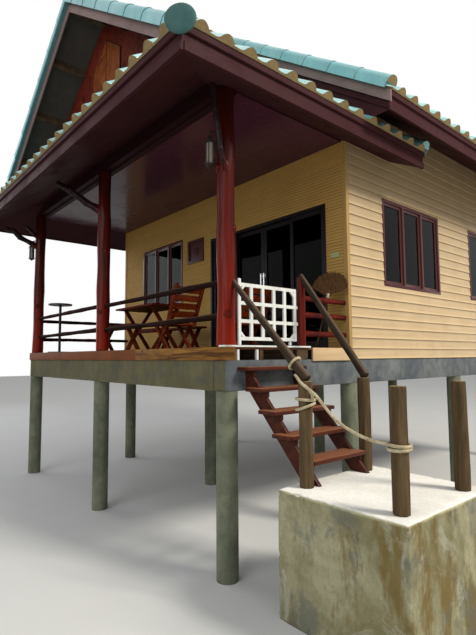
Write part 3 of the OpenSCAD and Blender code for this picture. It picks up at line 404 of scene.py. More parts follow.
def concrete(name, pale, dark, stain, streak, algae=None, front=None, top=None):
    """Cast concrete with clouds, runs down its faces and small pits, another tone on its front, and on its
    top a pale tone that is painted sunlight.
    """
    pale, dark, stain = tone(*pale), tone(*dark), tone(*stain)
    f = Finish(name)
    cloud = f.spots(0.38, 0.66, 1.8, detail=8, rough=0.62, bend=0.5)
    runs = f.spots(0.52, 0.72, 2.6, (3.0, 3.0, 0.45), detail=8, rough=0.68, bend=0.4)
    pits = f.noise(48, detail=5)
    f.shade = f.mix(cloud, pale, dark)
    if front:
        front = tone(*front)
        f.cover(f.steps(f.axis("Y", True), -0.4, -0.8), f.mix(cloud, front, darker(front, 0.72)))
    f.cover(f.spots(0.46, 0.64, 7.5, detail=8, rough=0.7), darker(dark, 0.75), 0.45)
    f.cover(runs, stain, streak)
    if algae:
        green = f.spots(0.5, 0.59, 2.6, (1.6, 1.6, 0.5), detail=9, rough=0.68, bend=0.12)
        f.cover(green, tone(*algae), 0.75)
        damp = f.spots(0.53, 0.61, 2.8, (1, 1, 0.75), detail=9, rough=0.66, bend=0.2)
        f.cover(damp, tone(92, 94, 86), 0.65)
        black = f.spots(0.57, 0.66, 4.2, (1.2, 1.2, 0.45), detail=9, rough=0.7, bend=0.3)
        f.cover(black, darker(stain, 0.5), 0.5)
    if top:
        top = tone(*top)
        f.cover(f.spots(0.57, 0.64, 1.7, detail=9, rough=0.72, bend=0.9), tone(172, 170, 152), 0.45)
        lip = f.math("ADD", f.axis("Z"), f.times(f.noise(6, detail=5), 0.05))
        f.cover(f.steps(lip, LIP_LOW, LIP_LOW + 0.02), tone(196, 188, 150), 0.6)
        # Lighter on faces that look up: painted sunlight on the top
        f.cover(f.steps(f.axis("Z", True), 0.5, 0.9), f.mix(cloud, top, darker(top, 0.82)))
    f.cover(f.steps(pits, 0.5, 0.8), darker(dark, 0.6), 0.25)
    f.bump(f.math("ADD", pits, f.times(cloud, 1.5)), 0.003, 0.5)
    return f.finish(0.85)


def edge_timber():
    """The front edge board: bare and knotty at the right, painted over at the left."""
    f = Finish("edge_timber")
    grain = f.noise(11, (0.1, 1, 1), detail=6, rough=0.7, bend=1.2)
    splits = f.spots(0.6, 0.64, 20, (0.05, 1, 1), detail=3, bend=0.4)
    f.shade = f.mix(f.steps(grain, 0.35, 0.65), tone(142, 100, 46), tone(94, 60, 28))
    f.cover(f.spots(0.62, 0.7, 4.6, (0.55, 1, 1), detail=2, bend=1.0), tone(58, 32, 18), 0.8)
    f.cover(splits, tone(50, 30, 20), 0.7)
    bare = f.shade
    f.shade = tone(110, 64, 38)
    f.cover(f.spots(0.45, 0.7, 3, detail=6), tone(82, 50, 32), 0.5)
    f.shade = f.mix(f.steps(f.axis("X"), BOARD_JOINT, BOARD_JOINT - 0.002), bare, f.shade)
    f.bump(f.math("SUBTRACT", grain, f.times(splits, 0.8)), 0.004, 0.5)
    return f.finish(0.6, gloss=0.05)


def glazing():
    """Glass tinted almost black, a painted shade that stands for the dark rooms behind it, with a painted
    green reflection in its specular tint and a faint streaky film.
    """
    f = Finish("glazing")
    film = f.spots(0.4, 0.8, 3.0, (1, 1, 0.3), detail=5)
    # Almost black: painted shade of the rooms behind the glass
    f.shade = f.between(film, 0.045, 0.03)
    # The green specular tint is a painted reflection of plants
    for name, value in (("Transmission Weight", 1.0), ("IOR", 1.16), ("Specular Tint", (0.55, 0.66, 0.55))):
        f.put(f.shader.inputs[name], value)
    return f.finish(f.between(film, 0.01, 0.05), gloss=0.25)


def post_paint():
    """Red gloss on the posts, brighter low down with painted sunlight and darker towards the top with
    painted shade under the eave, with dark bark on the branches that stand out from them.
    """
    f = Finish("post_paint")
    grain = f.noise(15, ALONG_Z, detail=6, rough=0.65, bend=0.6)
    crack = f.spots(0.62, 0.67, 26, (1, 1, 0.04), detail=3, bend=0.3)
    f.shade = f.mix(f.steps(grain, 0.33, 0.68), tone(90, 23, 14), tone(54, 13, 10))
    f.cover(f.spots(0.45, 0.66, 3.4, ALONG_Z, detail=6), tone(48, 13, 11), 0.8)
    # Brighter red low down: painted sunlight
    f.cover(f.steps(f.axis("Z"), 3.7, 2.4), tone(142, 32, 9), 0.6)
    # Darker towards the top: painted shade under the eave
    f.cover(f.steps(f.axis("Z"), 4.0, 5.0), tone(34, 11, 11), 0.7)
    f.cover(crack, tone(40, 8, 8), 0.6)
    nearest = f.times(f.math("ROUND", f.math("DIVIDE", f.axis("X"), BAY)), BAY)
    off = f.math("SUBTRACT", f.axis("X"), nearest)
    reach = f.math("SQRT", f.math("ADD", f.times(off, off), f.times(f.axis("Y"), f.axis("Y"))))
    bark = f.mix(f.steps(grain, 0.35, 0.65), tone(44, 27, 25), tone(22, 14, 14))
    f.cover(f.steps(reach, BARK_FROM, BARK_FROM + 0.07), bark)
    f.bump(f.math("SUBTRACT", grain, f.times(crack, 0.8)), 0.006)
    return f.finish(f.between(grain, 0.2, 0.4), coat=0.1, gloss=0.03)


def two_tones(name, first, second, rough, noise, cut=None, bump=None, **finish):
    """A plain finish: two tones mixed by a noise, which may be cut to steps and bumped as well."""
    f = Finish(name)
    mask = f.noise(*noise)
    f.shade = f.mix(f.steps(mask, *cut) if cut else mask, first, second)
    if bump:
        f.bump(mask, *bump)
    return f.finish(rough, **finish)


# Looks of the model's slots and of the nodes that have one of their own
RIB = 0.0425
LAP_BOARD = 0.14
LIP_LOW = 1.095
BOARD_JOINT = -1.756
BARK_FROM = 0.125

# Colour, worn colour, roughness, grain, wear, coat, laps, gloss and painted eave shade of each painted slot
PAINTED = {
    "edge_paint": ((198, 168, 128), (160, 132, 96), 0.45, ALONG_Y, 0.3),
    "gate_white": ((214, 214, 208), (170, 164, 150), 0.35, ALONG_Z, 0.25),
    "trim_paint": ((160, 128, 76), (128, 100, 58), 0.45, ALONG_Z, 0.35),
    "door_brown": ((22, 13, 15), (16, 11, 12), 0.35, ALONG_Z, 0.4),
    "window_brown": ((70, 28, 26), (44, 20, 18), 0.3, ALONG_Z, 0.4, 0.1),
    "ceiling_brown": ((70, 35, 48), (63, 31, 43), 0.16, ALONG_X, 0.12, 0.12),
    "ceiling_pale": ((206, 198, 180), (176, 168, 150), 0.5, ALONG_X, 0.3),
    "dark_metal": ((44, 38, 36), (60, 46, 36), 0.4, ALONG_Z, 0.4),
    "dark_beam": ((40, 19, 22), (28, 14, 16), 0.45, ALONG_X, 0.4, 0.0, None, 0.04),
    "eave_brown": ((60, 32, 34), (46, 25, 27), 0.5, ALONG_X, 0.4, 0.0, None, 0.03),
    # Laps bring dirt, painted shade and a painted highlight
    "siding_ochre": ((176, 138, 76), (144, 112, 60), 0.55, ALONG_X, 0.35, 0.0, (FLOOR, RIB, 0.6), 0.05),
    # The laps as above, and painted shade under the eave in the last entry
    "siding_cream": ((186, 160, 121), (150, 128, 92), 0.4, ALONG_Y, 0.3, 0.05,
                     (BEAM_TOP, LAP_BOARD, 0.55), 0.3, (3.2, 4.9, 0.52)),
}

# Light and dark colour, grain, roughness, knots, coat, cracks, patch, top and gloss of each bare one
BARE = {
    "joist_timber": ((96, 76, 58), (58, 44, 34), ALONG_X, 0.85),
    "deck_timber": ((128, 84, 56), (82, 52, 36), ALONG_Y, 0.5),
    "grey_log": ((104, 90, 74), (58, 48, 40), ALONG_Z, 0.8, 0.4),
    "stair_timber": ((80, 36, 22), (46, 20, 13), ALONG_Y, 0.4, 0.0, 0.04, 0.5),
    "rope": ((196, 182, 152), (142, 128, 100), (1, 1, 1), 0.95, 0.0, 0.0, 0.0),
    "gable_timber": ((142, 78, 36), (98, 46, 22), GABLE_GRAIN, 0.5),
    "red_log": ((104, 26, 13), (66, 14, 10), ALONG_Z, 0.3, 0.5, 0.05, 0.5, (58, 14, 11), None, 0.05),
    "furniture_timber": ((112, 42, 13), (54, 19, 8), ALONG_X, 0.5, 0.0, 0.0, 0.6, None, None, 0.03),
}
looks = {name: painted_wood(name, *row) for name, row in PAINTED.items()}
looks.update({name: bare_wood(name, *row) for name, row in BARE.items()})
looks.update({
    "concrete_column": concrete("column_concrete", (116, 118, 98), (86, 90, 76), (62, 63, 48), 0.5),
    "concrete_beam": concrete("beam_concrete", (106, 110, 108), (72, 76, 82), (50, 50, 48), 0.4,
                              front=(98, 92, 64)),
    # The landing block's pale top colour is painted sunlight
    "rough_concrete": concrete("landing_concrete", (152, 147, 118), (112, 106, 74), (78, 68, 42), 0.3,
                               (100, 80, 32), top=(240, 236, 226)),
    "bare_timber": edge_timber(),
    "teal_tile": painted_wood("teal_cap", (134, 182, 184), (104, 156, 158), 0.38, ALONG_Z, 0.5, 0.15),
    "glazing": glazing(),
})
own_looks = {
    "barge_boards": painted_wood("barge_paint", (124, 102, 98), (94, 74, 72), 0.55, ALONG_X, 0.5),
    "veranda_posts": post_paint(),
    # Top colour: a painted highlight along the rails' upper side
    "log_rails": bare_wood("rail_bark", (44, 22, 15), (20, 10, 8), ALONG_X, 0.7, 0.3,
                           top=(86, 68, 58), gloss=0.03),
    # Top colour: a painted highlight along the handrails' upper side
    "handrails": bare_wood("handrail_bark", (62, 50, 38), (32, 25, 19), (0.08, 1, 0.08), 0.55, 0.3,
                           top=(134, 114, 94), gloss=0.06),
    "landing_posts": bare_wood("landing_post_timber", (96, 78, 54), (58, 46, 32), ALONG_Z, 0.85, 0.4,
                               top=(150, 128, 92)),
    # Top colour: wear and painted light from above on the treads
    "stair_treads": bare_wood("tread_timber", (84, 36, 20), (52, 22, 14), ALONG_Y, 0.35, 0.0, 0.04, 0.5,
                              top=(150, 98, 70)),
}
slot_of = {part["node"]: part["material_slot"] for part in frame["record"]["subparts"]}
for name, node in nodes.items():
    node.data.materials.clear()
    node.data.materials.append(own_looks.get(name) or looks[slot_of[name]])

# Rope: the route's points repeat the model's, joined by a smooth curve
ROPE_D = 0.028
ROPE_TURN = 0.085
STRANDS = 3
ROUTE = [(0.925, 0.046, 2.086), (0.975, 0.0237, 2.06), (1.0258, 0.0045, 2.026), (1.0897, -0.0009, 1.988),
         (1.1498, 0.0018, 1.954), (1.2044, 0.0065, 1.914), (1.2663, 0.0112, 1.852), (1.3302, 0.0138, 1.788),
         (1.4097, 0.0164, 1.724), (1.4994, 0.0189, 1.676), (1.5901, 0.0234, 1.64), (1.6798, 0.0289, 1.614),
         (1.7649, 0.0355, 1.6), (1.85, 0.041, 1.596)]


def smooth_path(points, share):
    """More points on a smooth curve through the given ones, share of them to each stretch."""
    points = [Vector(p) for p in points]
    out = []
    for i in range(len(points) - 1):
        before = points[max(i - 1, 0)]
        after = points[min(i + 2, len(points) - 1)]
        for k in range(share):
            t = k / share
            a, b = points[i], points[i + 1]
            out.append(0.5 * (2 * a + (b - before) * t + (2 * before - 5 * a + 4 * b - after) * t * t
                              + (3 * a - before - 3 * b + after) * t * t * t))
    return out + [points[-1]]


def laid_rope(parts, path, diameter, closed=False, sides=18):
    """Three strands laid round each other along a path, as one skin."""
    rings = []
    turn = 0.0
    for point, across, up, step in carried(path, closed):
        outline = []
        for k in range(sides):
            angle = 2 * math.pi * k / sides
            lobe = abs(math.cos(STRANDS / 2 * (angle - turn)))
            radius = diameter / 2 * (0.8 + 0.2 * lobe)
            outline.append((radius * math.cos(angle), radius * math.sin(angle)))
        rings.append(ring(point, across, up, outline))
        turn += step * 2 * math.pi / ROPE_TURN
    parts.rings(rings, closed=closed)


rope_path = smooth_path(ROUTE, 3)
parts = Parts()
laid_rope(parts, smooth_path(rope_path, 5), ROPE_D)
rope = parts.piece("rope_line", "rope", "rope_span", smooth=True)
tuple(ROUTE[0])

# Turns of rope round the posts and the handrail, with a knot on the side that the span comes from
POST_NEAR = Vector((1.0, 0.095, 0))
POST_OUT = Vector((1.945, 0.055, 0))
TIE_R = 0.067 + ROPE_D / 2
RAIL_TIE_R = 0.0618
RAIL_HEAD = Vector((0.04, 0.02, 3.092))
RAIL_FOOT = Vector((1.025, 0.095, 2.044))
BIGHT = [(1.046, 0.02, 2.004), (1.088, 0.016, 1.984), (1.12, 0.022, 1.952), (1.128, 0.036, 1.922),
         (1.112, 0.06, 1.896), (1.086, 0.098, 1.876), (1.066, 0.15, 1.866)]


def turn_of_rope(parts, centre, across, up, radius, tilt, highest, steps=56):
    """One closed turn, tilted so that it is highest in one direction."""
    axis = across.cross(up)
    path = []
    for k in range(steps):
        angle = 2 * math.pi * k / steps
        path.append(centre + radius * (math.cos(angle) * across + math.sin(angle) * up)
                    + axis * tilt * math.cos(angle - math.radians(highest)))
    laid_rope(parts, path, ROPE_D, closed=True, sides=12)


parts = Parts()
for post, height, tilt, highest in ((POST_NEAR, 1.868, 0.006, 230), (POST_NEAR, 1.806, 0.03, 40),
                                    (POST_OUT, 1.598, 0.004, 200), (POST_OUT, 1.569, 0.003, 60)):
    turn_of_rope(parts, post + UP * height, EAST, NORTH, TIE_R, tilt, highest)
along_rail = (RAIL_FOOT - RAIL_HEAD).normalized()
rail_across = along_rail.cross(UP).normalized()
turn_of_rope(parts, RAIL_HEAD.lerp(RAIL_FOOT, 0.86), rail_across, rail_across.cross(along_rail), RAIL_TIE_R,
             0.01, 120)
laid_rope(parts, smooth_path(BIGHT, 8), ROPE_D * 0.96, sides=12)
parts.piece("tied_rope", "rope", "rope_ties", smooth=True)


# Roof tiles: rows of humped tiles laid up each slope
TILE_W = 0.291
TILE_ROW = 0.33
HUMP = 0.06
LAP = 0.016
TILE_LIFT = 0.012
SIDE_LAP = 0.005
DECK_T = 0.008
STEPS = 12
PAN = 0.4
PAN_DIP = 0.003


def tile_profile(t):
    """Height of a tile's top at t, from 0 to 1 across its width: a flat pan and a round hump."""
    if t < PAN:
        return PAN_DIP - PAN_DIP * math.sin(math.pi * t / PAN)
    s = (t - PAN) / (1 - PAN)
    return PAN_DIP + HUMP * math.sin(math.pi * s) ** 0.85 + SIDE_LAP * s


def tile_finish():
    f = Finish("tile_glaze")
    patches = f.spots(0.42, 0.72, 2.6, detail=7)
    f.shade = f.mix(f.spots(0.35, 0.65, 5.5, detail=1), tone(124, 180, 176), tone(152, 202, 200))
    f.cover(patches, tone(104, 150, 144), 0.45)
    f.bump(f.noise(70, detail=3), 0.0015, 0.4)
    return f.finish(f.between(patches, 0.18, 0.35), coat=0.6, gloss=0.5)


def tile_clay():
    f = Finish("tile_body")
    speck = f.noise(38, detail=5)
    f.shade = f.mix(speck, tone(148, 126, 86), tone(104, 88, 60))
    f.cover(f.spots(0.45, 0.7, 6), tone(88, 82, 58), 0.5)
    f.bump(speck, 0.002, 0.5)
    return f.finish(0.85)


def tile_underside():
    f = Finish("tile_underside")
    ribs = f.spots(0.3, 0.8, 9, ALONG_X, detail=3)
    f.shade = f.mix(ribs, tone(74, 68, 62), tone(62, 56, 52))
    f.bump(ribs, 0.002, 0.4)
    return f.finish(0.8)


TILE_LOOKS = [tile_finish(), tile_clay(), tile_underside()]


def tiled_slope(corner, along, up, width, run, offset=0.0):
    """Tiles over a slope that starts at the eave corner, runs along it and up it, with a deck below.
    Run is measured level. Offset shifts the tiles along the eave."""
    parts = Parts()
    rise = (Vector(up) + Vector((0, 0, PITCH))).normalized()
    normal = along.cross(rise)
    if normal.z < 0:
        normal = -normal
    length = run * SLOPE
    cuts = [(0.0, tile_profile((-offset / TILE_W) % 1.0))]
    for k in range(-math.ceil(offset / TILE_W) - 1, int(width / TILE_W) + 3):
        for i in range(STEPS + 1):
            u = k * TILE_W + offset + TILE_W * i / STEPS
            if 0.001 < u < width - 0.001:
                cuts.append((u, tile_profile(i / STEPS)))
    cuts.append((width, tile_profile(((width - offset) / TILE_W) % 1.0)))
    corner = Vector(corner)

    def at(u, v, h):
        return corner + along * u + rise * v + normal * h

    count = len(cuts)
    v = 0.0
    while v < length - 0.001:
        end = min(v + TILE_ROW, length)
        top = [at(u, v, TILE_LIFT + h + LAP) for u, h in cuts]
        far = [at(u, end, TILE_LIFT + h) for u, h in cuts]
        parts.add(top + far, [(i, i + 1, count + i + 1, count + i) for i in range(count - 1)], 0)
        foot = [at(u, v, 0 if v == 0 else TILE_LIFT + h - 0.002) for u, h in cuts]
        parts.add(top + foot, [(i + 1, i, count + i, count + i + 1) for i in range(count - 1)], 1)
        for u, h in (cuts[0], cuts[-1]):
            parts.add([at(u, v, DECK_T), at(u, end, DECK_T), at(u, end, TILE_LIFT + h),
                       at(u, v, TILE_LIFT + h + LAP)], [(0, 1, 2, 3)], 1)
        v = end
    deck = [at(u, v, h) for h in (0, DECK_T) for u, v in ((0, 0), (width, 0), (width, length), (0, length))]
    parts.add(deck, BOX_FACES[:5], 2)
    return parts


def clipped(parts, planes):
    """The same shapes without what lies beyond any of the planes."""
    mesh = bmesh.new()
    points = [mesh.verts.new(p) for p in parts.points]
    for face, kind in zip(parts.faces, parts.kinds):
        mesh.faces.new([points[i] for i in face]).material_index = kind
    for place, direction in planes:
        everything = mesh.verts[:] + mesh.edges[:] + mesh.faces[:]
        bmesh.ops.bisect_plane(mesh, geom=everything, plane_co=place, plane_no=direction, clear_outer=True)
    out = Parts()
    mesh.verts.index_update()
    out.points = [v.co.copy() for v in mesh.verts]
    out.faces = [tuple(v.index for v in face.verts) for face in mesh.faces]
    out.kinds = [face.material_index for face in mesh.faces]
    mesh.free()
    return out


def tiled_piece(name, replaced, first, *others):
    """Tiled slopes joined to one piece."""
    for other in others:
        first.add(other.points, other.faces)
        first.kinds[-len(other.kinds):] = other.kinds
    first.piece(name, "teal_tile", replaced, 35, TILE_LOOKS)


eave_left = on_side(PORCH_SIDE, -1)
front = tiled_slope((eave_left, -PORCH_FRONT, PORCH_EAVE), EAST, NORTH, 2 * (PORCH_SIDE - RIDGE_X),
                    PORCH_FRONT + GABLE_FACE)
tiled_piece("tiles_front", "roof_front", clipped(front, [((PORCH_SIDE, -PORCH_FRONT, 0), (1, 1, 0)),
                                                         ((eave_left, -PORCH_FRONT, 0), (-1, 1, 0))]))
porch_depth = WALL_FRONT + PORCH_FRONT
for side, sign in (("right", 1), ("left", -1)):
    inward = (-sign, 0, 0)
    eave = on_side(PORCH_SIDE, sign)
    hip = on_side(HIP_X, sign)
    porch = tiled_slope((eave, -PORCH_FRONT, PORCH_EAVE), NORTH, inward, porch_depth, PORCH_SIDE - RIDGE_X)
    lower = clipped(porch, [((hip, 0, 0), inward), ((eave, -PORCH_FRONT, 0), (-sign, -1, 0))])
    upper = clipped(porch, [((hip, 0, 0), (sign, 0, 0)), ((0, -GABLE_REACH, 0), (0, -1, 0))])
    tiled_piece("tiles_porch_" + side, "roof_porch_" + side, lower, upper)
    tiled_piece("tiles_return_" + side, None,
                tiled_slope((eave, WALL_FRONT, PORCH_EAVE), NORTH, inward, RETURN_Y - WALL_FRONT,
                            PORCH_SIDE - WALL_RIGHT, -(porch_depth % TILE_W)))
    tiled_piece("tiles_main_" + side, "roof_main_" + side,
                tiled_slope((on_side(MAIN_SIDE, sign), VERGE_FRONT, MAIN_EAVE), NORTH, inward,
                            VERGE_BACK - VERGE_FRONT, MAIN_SIDE - RIDGE_X))

# Cap tiles: sleeves lapped up each verge, ridge and hip, with painted shade on the face under each nose
SLEEVE = 0.52
FLARE = 0.005
ARC_STEPS = 14
LEG_T = 0.018
HIP_SINK = 0.04
RIDGE_SINK = 0.032
DISC = [(-0.012, 0.11), (-0.006, 0.134), (0.004, 0.14), (0.013, 0.138), (0.021, 0.126), (0.027, 0.103),
        (0.031, 0.072), (0.033, 0.036), (0.034, 0.008)]


def cap_outline(radius, start, end, leg=0):
    """A round back from one angle to another, with a leg down one side."""
    angles = [math.radians(start + (end - start) * k / ARC_STEPS) for k in range(ARC_STEPS + 1)]
    arc = [(radius * math.cos(angle), radius * math.sin(angle)) for angle in angles]
    if leg < 0:
        return arc + [(-radius, -ROOF_T), (LEG_T - radius, -ROOF_T), (LEG_T - radius, -0.002)]
    if leg > 0:
        return [(radius - LEG_T, -0.002), (radius - LEG_T, -ROOF_T), (radius, -ROOF_T)] + arc
    return arc


def sleeve_run(parts, low, high, start=0, end=180, outward=None, plug_kind=3):
    """Cap tiles from a low point to a high one, each lapped over the next one up."""
    low, high = Vector(low), Vector(high)
    ahead = (high - low).normalized()
    across = ahead.cross(UP).normalized()
    up = across.cross(ahead)
    leg = 0 if outward is None else (1 if across.dot(Vector(outward)) > 0 else -1)
    total = (high - low).length
    plug = ring(low - ahead * 0.002, across, up, cap_outline(CAP_R + FLARE - 0.002, start, end))
    parts.add(plug, [tuple(range(len(plug)))], plug_kind)
    s = 0.0
    while s < total - 0.02:
        stop = min(s + SLEEVE, total)
        rows = [(s, CAP_R - 0.006), (s, CAP_R + FLARE), (s + 0.028, CAP_R + FLARE),
                (s + 0.034, CAP_R + 0.001), (stop + 0.006, CAP_R - FLARE + 0.003)]
        rings = [ring(low + ahead * v, across, up, cap_outline(r, start, end, leg)) for v, r in rows]
        # The nose face takes the second look: painted shade under the lap
        parts.rings(rings[:2], kind=1, ends=False)
        parts.rings(rings[1:])
        s = stop


# A darker teal than the caps: painted shade on the end discs
def shaded_disc_glaze():
    f = Finish("shaded_disc_glaze")
    f.shade = f.mix(f.spots(0.4, 0.7, 9, detail=6), tone(52, 84, 80), tone(42, 70, 70))
    f.bump(f.noise(50, detail=3), 0.001, 0.3)
    return f.finish(0.5)


caps = Parts()
for sign in (1, -1):
    for low_x, y, base, out in ((HIP_X, -GABLE_REACH, porch_z(HIP_X), -1),
                                (MAIN_SIDE, VERGE_FRONT, MAIN_EAVE, -1),
                                (MAIN_SIDE, VERGE_BACK, MAIN_EAVE, 1)):
        top = base + PITCH * (low_x - RIDGE_X) + ROOF_T
        sleeve_run(caps, (on_side(low_x, sign), y, base + ROOF_T), (RIDGE_X, y, top), outward=(0, out, 0))
    x = on_side(PORCH_SIDE, sign)
    sleeve_run(caps, (x, -PORCH_FRONT, PORCH_EAVE + ROOF_T - HIP_SINK),
               (on_side(HIP_X, sign), -GABLE_REACH, porch_z(HIP_X) + ROOF_T - HIP_SINK), -15, 195)
    caps.lathe((x + sign * 0.014, -PORCH_FRONT - 0.014, PORCH_EAVE), (sign, -1, 0), DISC, 40, kind=2)
    sleeve_run(caps, (x, RETURN_Y, PORCH_EAVE + ROOF_T),
               (on_side(WALL_RIGHT, sign), RETURN_Y, porch_z(WALL_RIGHT) + ROOF_T), outward=(0, 1, 0),
               plug_kind=0)
for z, y0, y1 in ((porch_z(RIDGE_X), -GABLE_REACH + CAP_R, WALL_FRONT),
                  (main_z(RIDGE_X), VERGE_FRONT + CAP_R, VERGE_BACK - CAP_R)):
    ridge_z = z + ROOF_T - RIDGE_SINK
    sleeve_run(caps, (RIDGE_X, y0, ridge_z), (RIDGE_X, y1, ridge_z), -18, 198)
# Dark teal on each nose face: painted shade under the lap
painted_nose_shade = two_tones("painted_nose_shade", tone(30, 56, 54), tone(20, 36, 34), 0.8, (40,), bump=(0.001, 0.4))
cap_looks = [looks["teal_tile"], painted_nose_shade, shaded_disc_glaze(), TILE_LOOKS[1]]
caps.piece("cap_tiles", "teal_tile", "roof_caps", 38, cap_looks)


# Siding: lapped boards in front of the walls, cut round the openings
TRIM_IN = 0.044
LAP_FOOT = 0.0125
RIB_FOOT = 0.0095
LAP_HEAD = 0.002
SIDE_TOP = 5.58
BACK_TOP = 7.97
BACK_TRIM_TOP = 5.9


def lap_boards(parts, place, pitch, low, high, foot, edges, openings=()):
    """Boards from low to high, each proud of the wall by foot at its foot and a little at its head.
    Edges gives both ends at a height. Openings are given as start, end, low and high."""
    level = low
    while level < high - 0.002:
        top = min(level + pitch, high)
        marks = {level, top}
        for opening in openings:
            marks |= {z for z in opening[2:] if level < z < top}
        marks = sorted(marks)
        for z0, z1 in zip(marks, marks[1:]):
            middle = (z0 + z1) / 2
            holes = sorted(o[:2] for o in openings if o[2] < middle < o[3])
            spans = []
            for z in (z0, z1):
                left, right = edges(z)
                spans.append(list(zip([left] + [h[1] for h in holes], [h[0] for h in holes] + [right])))
            d0 = foot + (LAP_HEAD - foot) * (z0 - level) / pitch
            d1 = foot + (LAP_HEAD - foot) * (z1 - level) / pitch
            for (a0, b0), (a1, b1) in zip(*spans):
                if b0 - a0 > 0.005:
                    corners = ((a0, z0, d0), (b0, z0, d0), (b1, z1, d1), (a1, z1, d1))
                    points = [place(u, z, 0) for u, z, d in corners] + [place(*c) for c in corners]
                    parts.add(points, BOX_FACES)
        level = top


def gable_edges(z):
    """Both ends of the back wall's siding at a height, under the main roof."""
    reach = MAIN_SIDE - (z - MAIN_EAVE) / PITCH if z > main_z(WALL_RIGHT) else WALL_RIGHT
    inset = TRIM_IN if z < BACK_TRIM_TOP else 0.01
    return (on_side(reach, -1) + inset, reach - inset)


parts = Parts()
lap_boards(parts, lambda u, z, d: (u, WALL_FRONT - d, z), RIB, FLOOR, CEILING, RIB_FOOT,
           lambda z: (on_side(WALL_RIGHT, -1) + TRIM_IN, WALL_RIGHT - TRIM_IN),
           [(*FRONT_WINDOW, WINDOW_LOW, WINDOW_TOP), (DOOR_LEFT, DOOR_RIGHT, 0, DOOR_TOP)])
parts.piece("siding_front", "siding_ochre")
parts = Parts()
windows = [(*w, WINDOW_LOW, WINDOW_TOP) for w in SIDE_WINDOWS]
for sign in (1, -1):
    lap_boards(parts, lambda u, z, d: (on_side(WALL_RIGHT, sign) + sign * d, u, z), LAP_BOARD, BEAM_TOP,
               SIDE_TOP, LAP_FOOT, lambda z: (WALL_FRONT + TRIM_IN, WALL_BACK - TRIM_IN), windows)
lap_boards(parts, lambda u, z, d: (u, WALL_BACK + d, z), LAP_BOARD, BEAM_TOP, BACK_TOP, LAP_FOOT,
           gable_edges)
parts.piece("siding_sides", "siding_cream")

# Floor boards, laid across the joists
BOARD_W = 0.118
BOARD_GAP = 0.004


def floor_boards(name, replaced, low, high, lengths):
    """Boards with small gaps, in lengths whose joints fall at the given places by turns."""
    parts = Parts()
    x = low[0]
    row = 0
    while x < high[0] - 0.01:
        right = min(x + BOARD_W, high[0])
        stops = [low[1], *lengths[row % len(lengths)], high[1]]
        drop = 0.0012 * noise.noise(Vector((row * 1.7, 0.3, 0.1)))
        for y0, y1 in zip(stops, stops[1:]):
            parts.box((x, y0 + 0.0015, low[2]), (right - BOARD_GAP, y1 - 0.0015, high[2] - 0.0015 + drop))
        x = right
        row += 1
    parts.piece(name, "deck_timber", replaced)


floor_boards("boards_veranda", "veranda_floor", *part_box("veranda_floor"), [[]])
floor_boards("boards_house", "house_floor", *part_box("house_floor"), [[4.0], [5.92], [3.04, 6.9]])


# Gable: slanting boards on both halves and in the two leaves of the pointed panel
def cut(outline, place, direction):
    """The part of a flat convex outline that lies behind a line."""
    def ahead(p):
        return (p[0] - place[0]) * direction[0] + (p[1] - place[1]) * direction[1]
    out = []
    for p, q in zip(outline, outline[1:] + outline[:1]):
        a, b = ahead(p), ahead(q)
        if a <= 0:
            out.append(p)
        if (a < 0 < b) or (b < 0 < a):
            t = a / (a - b)
            out.append((p[0] + t * (q[0] - p[0]), p[1] + t * (q[1] - p[1])))
    return out


def slanting_boards(parts, outline, lean, width, face, proud, spread, kind=0):
    """Boards at 45 degrees over an outline in the gable's plane."""
    normal = (lean * math.sqrt(0.5), math.sqrt(0.5))
    reaches = [p[0] * normal[0] + p[1] * normal[1] for p in outline]
    reach = min(reaches)
    while reach < max(reaches):
        near = (normal[0] * (reach + spread), normal[1] * (reach + spread))
        far = (normal[0] * (reach + width), normal[1] * (reach + width))
        strip = cut(cut(outline, near, (-normal[0], -normal[1])), far, normal)
        if len(strip) > 2:
            parts.prism(strip, face, face - proud, upright, kind)
        reach += width


PORCH_TOP = porch_z(RIDGE_X)
PANEL_X = -2.895
PANEL_HALF = 0.48
PANEL_LOW = PORCH_TOP - 1.475
PANEL_SIDE = PORCH_TOP - 0.775
PANEL_TOP = PORCH_TOP - 0.425
PANEL_T = 0.018
LEAF_JOINT = 0.013
LEAF_RIM = 0.017
BOARDS_TOP = PORCH_TOP - 0.13
BOARDS_HALF = 3.0
BOARD_WIDE = 0.062
LEAF_BOARD_WIDE = 0.052
parts = Parts()
slab = [(LEFT_POST_X, GABLE_BASE), (0, GABLE_BASE), (0, porch_z(0)), (RIDGE_X, PORCH_TOP),
        (LEFT_POST_X, porch_z(0))]
parts.prism(slab, GABLE_FACE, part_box("gable_wall")[1][1], upright)
shoulder = PANEL_TOP - PANEL_SIDE
for sign in (1, -1):
    end_x = RIDGE_X + sign * BOARDS_HALF
    half = [(RIDGE_X, GABLE_BASE), (RIDGE_X, BOARDS_TOP), (end_x, BOARDS_TOP - PITCH * BOARDS_HALF),
            (end_x, GABLE_BASE)]
    slanting_boards(parts, half, sign, BOARD_WIDE, GABLE_FACE, 0.005, 0.005)
    inner, outer = PANEL_X + sign * LEAF_JOINT, PANEL_X + sign * (PANEL_HALF - LEAF_RIM)
    leaf = [(inner, PANEL_LOW + LEAF_RIM), (outer, PANEL_LOW + LEAF_RIM),
            (outer, PANEL_SIDE + shoulder * LEAF_RIM / PANEL_HALF - LEAF_RIM),
            (inner, PANEL_TOP - shoulder * LEAF_JOINT / PANEL_HALF - LEAF_RIM)]
    slanting_boards(parts, leaf, -1, LEAF_BOARD_WIDE, GABLE_FACE - PANEL_T, 0.006, 0.013, kind=2)
panel = [(-PANEL_HALF, PANEL_LOW), (PANEL_HALF, PANEL_LOW), (PANEL_HALF, PANEL_SIDE), (0, PANEL_TOP),
         (-PANEL_HALF, PANEL_SIDE)]
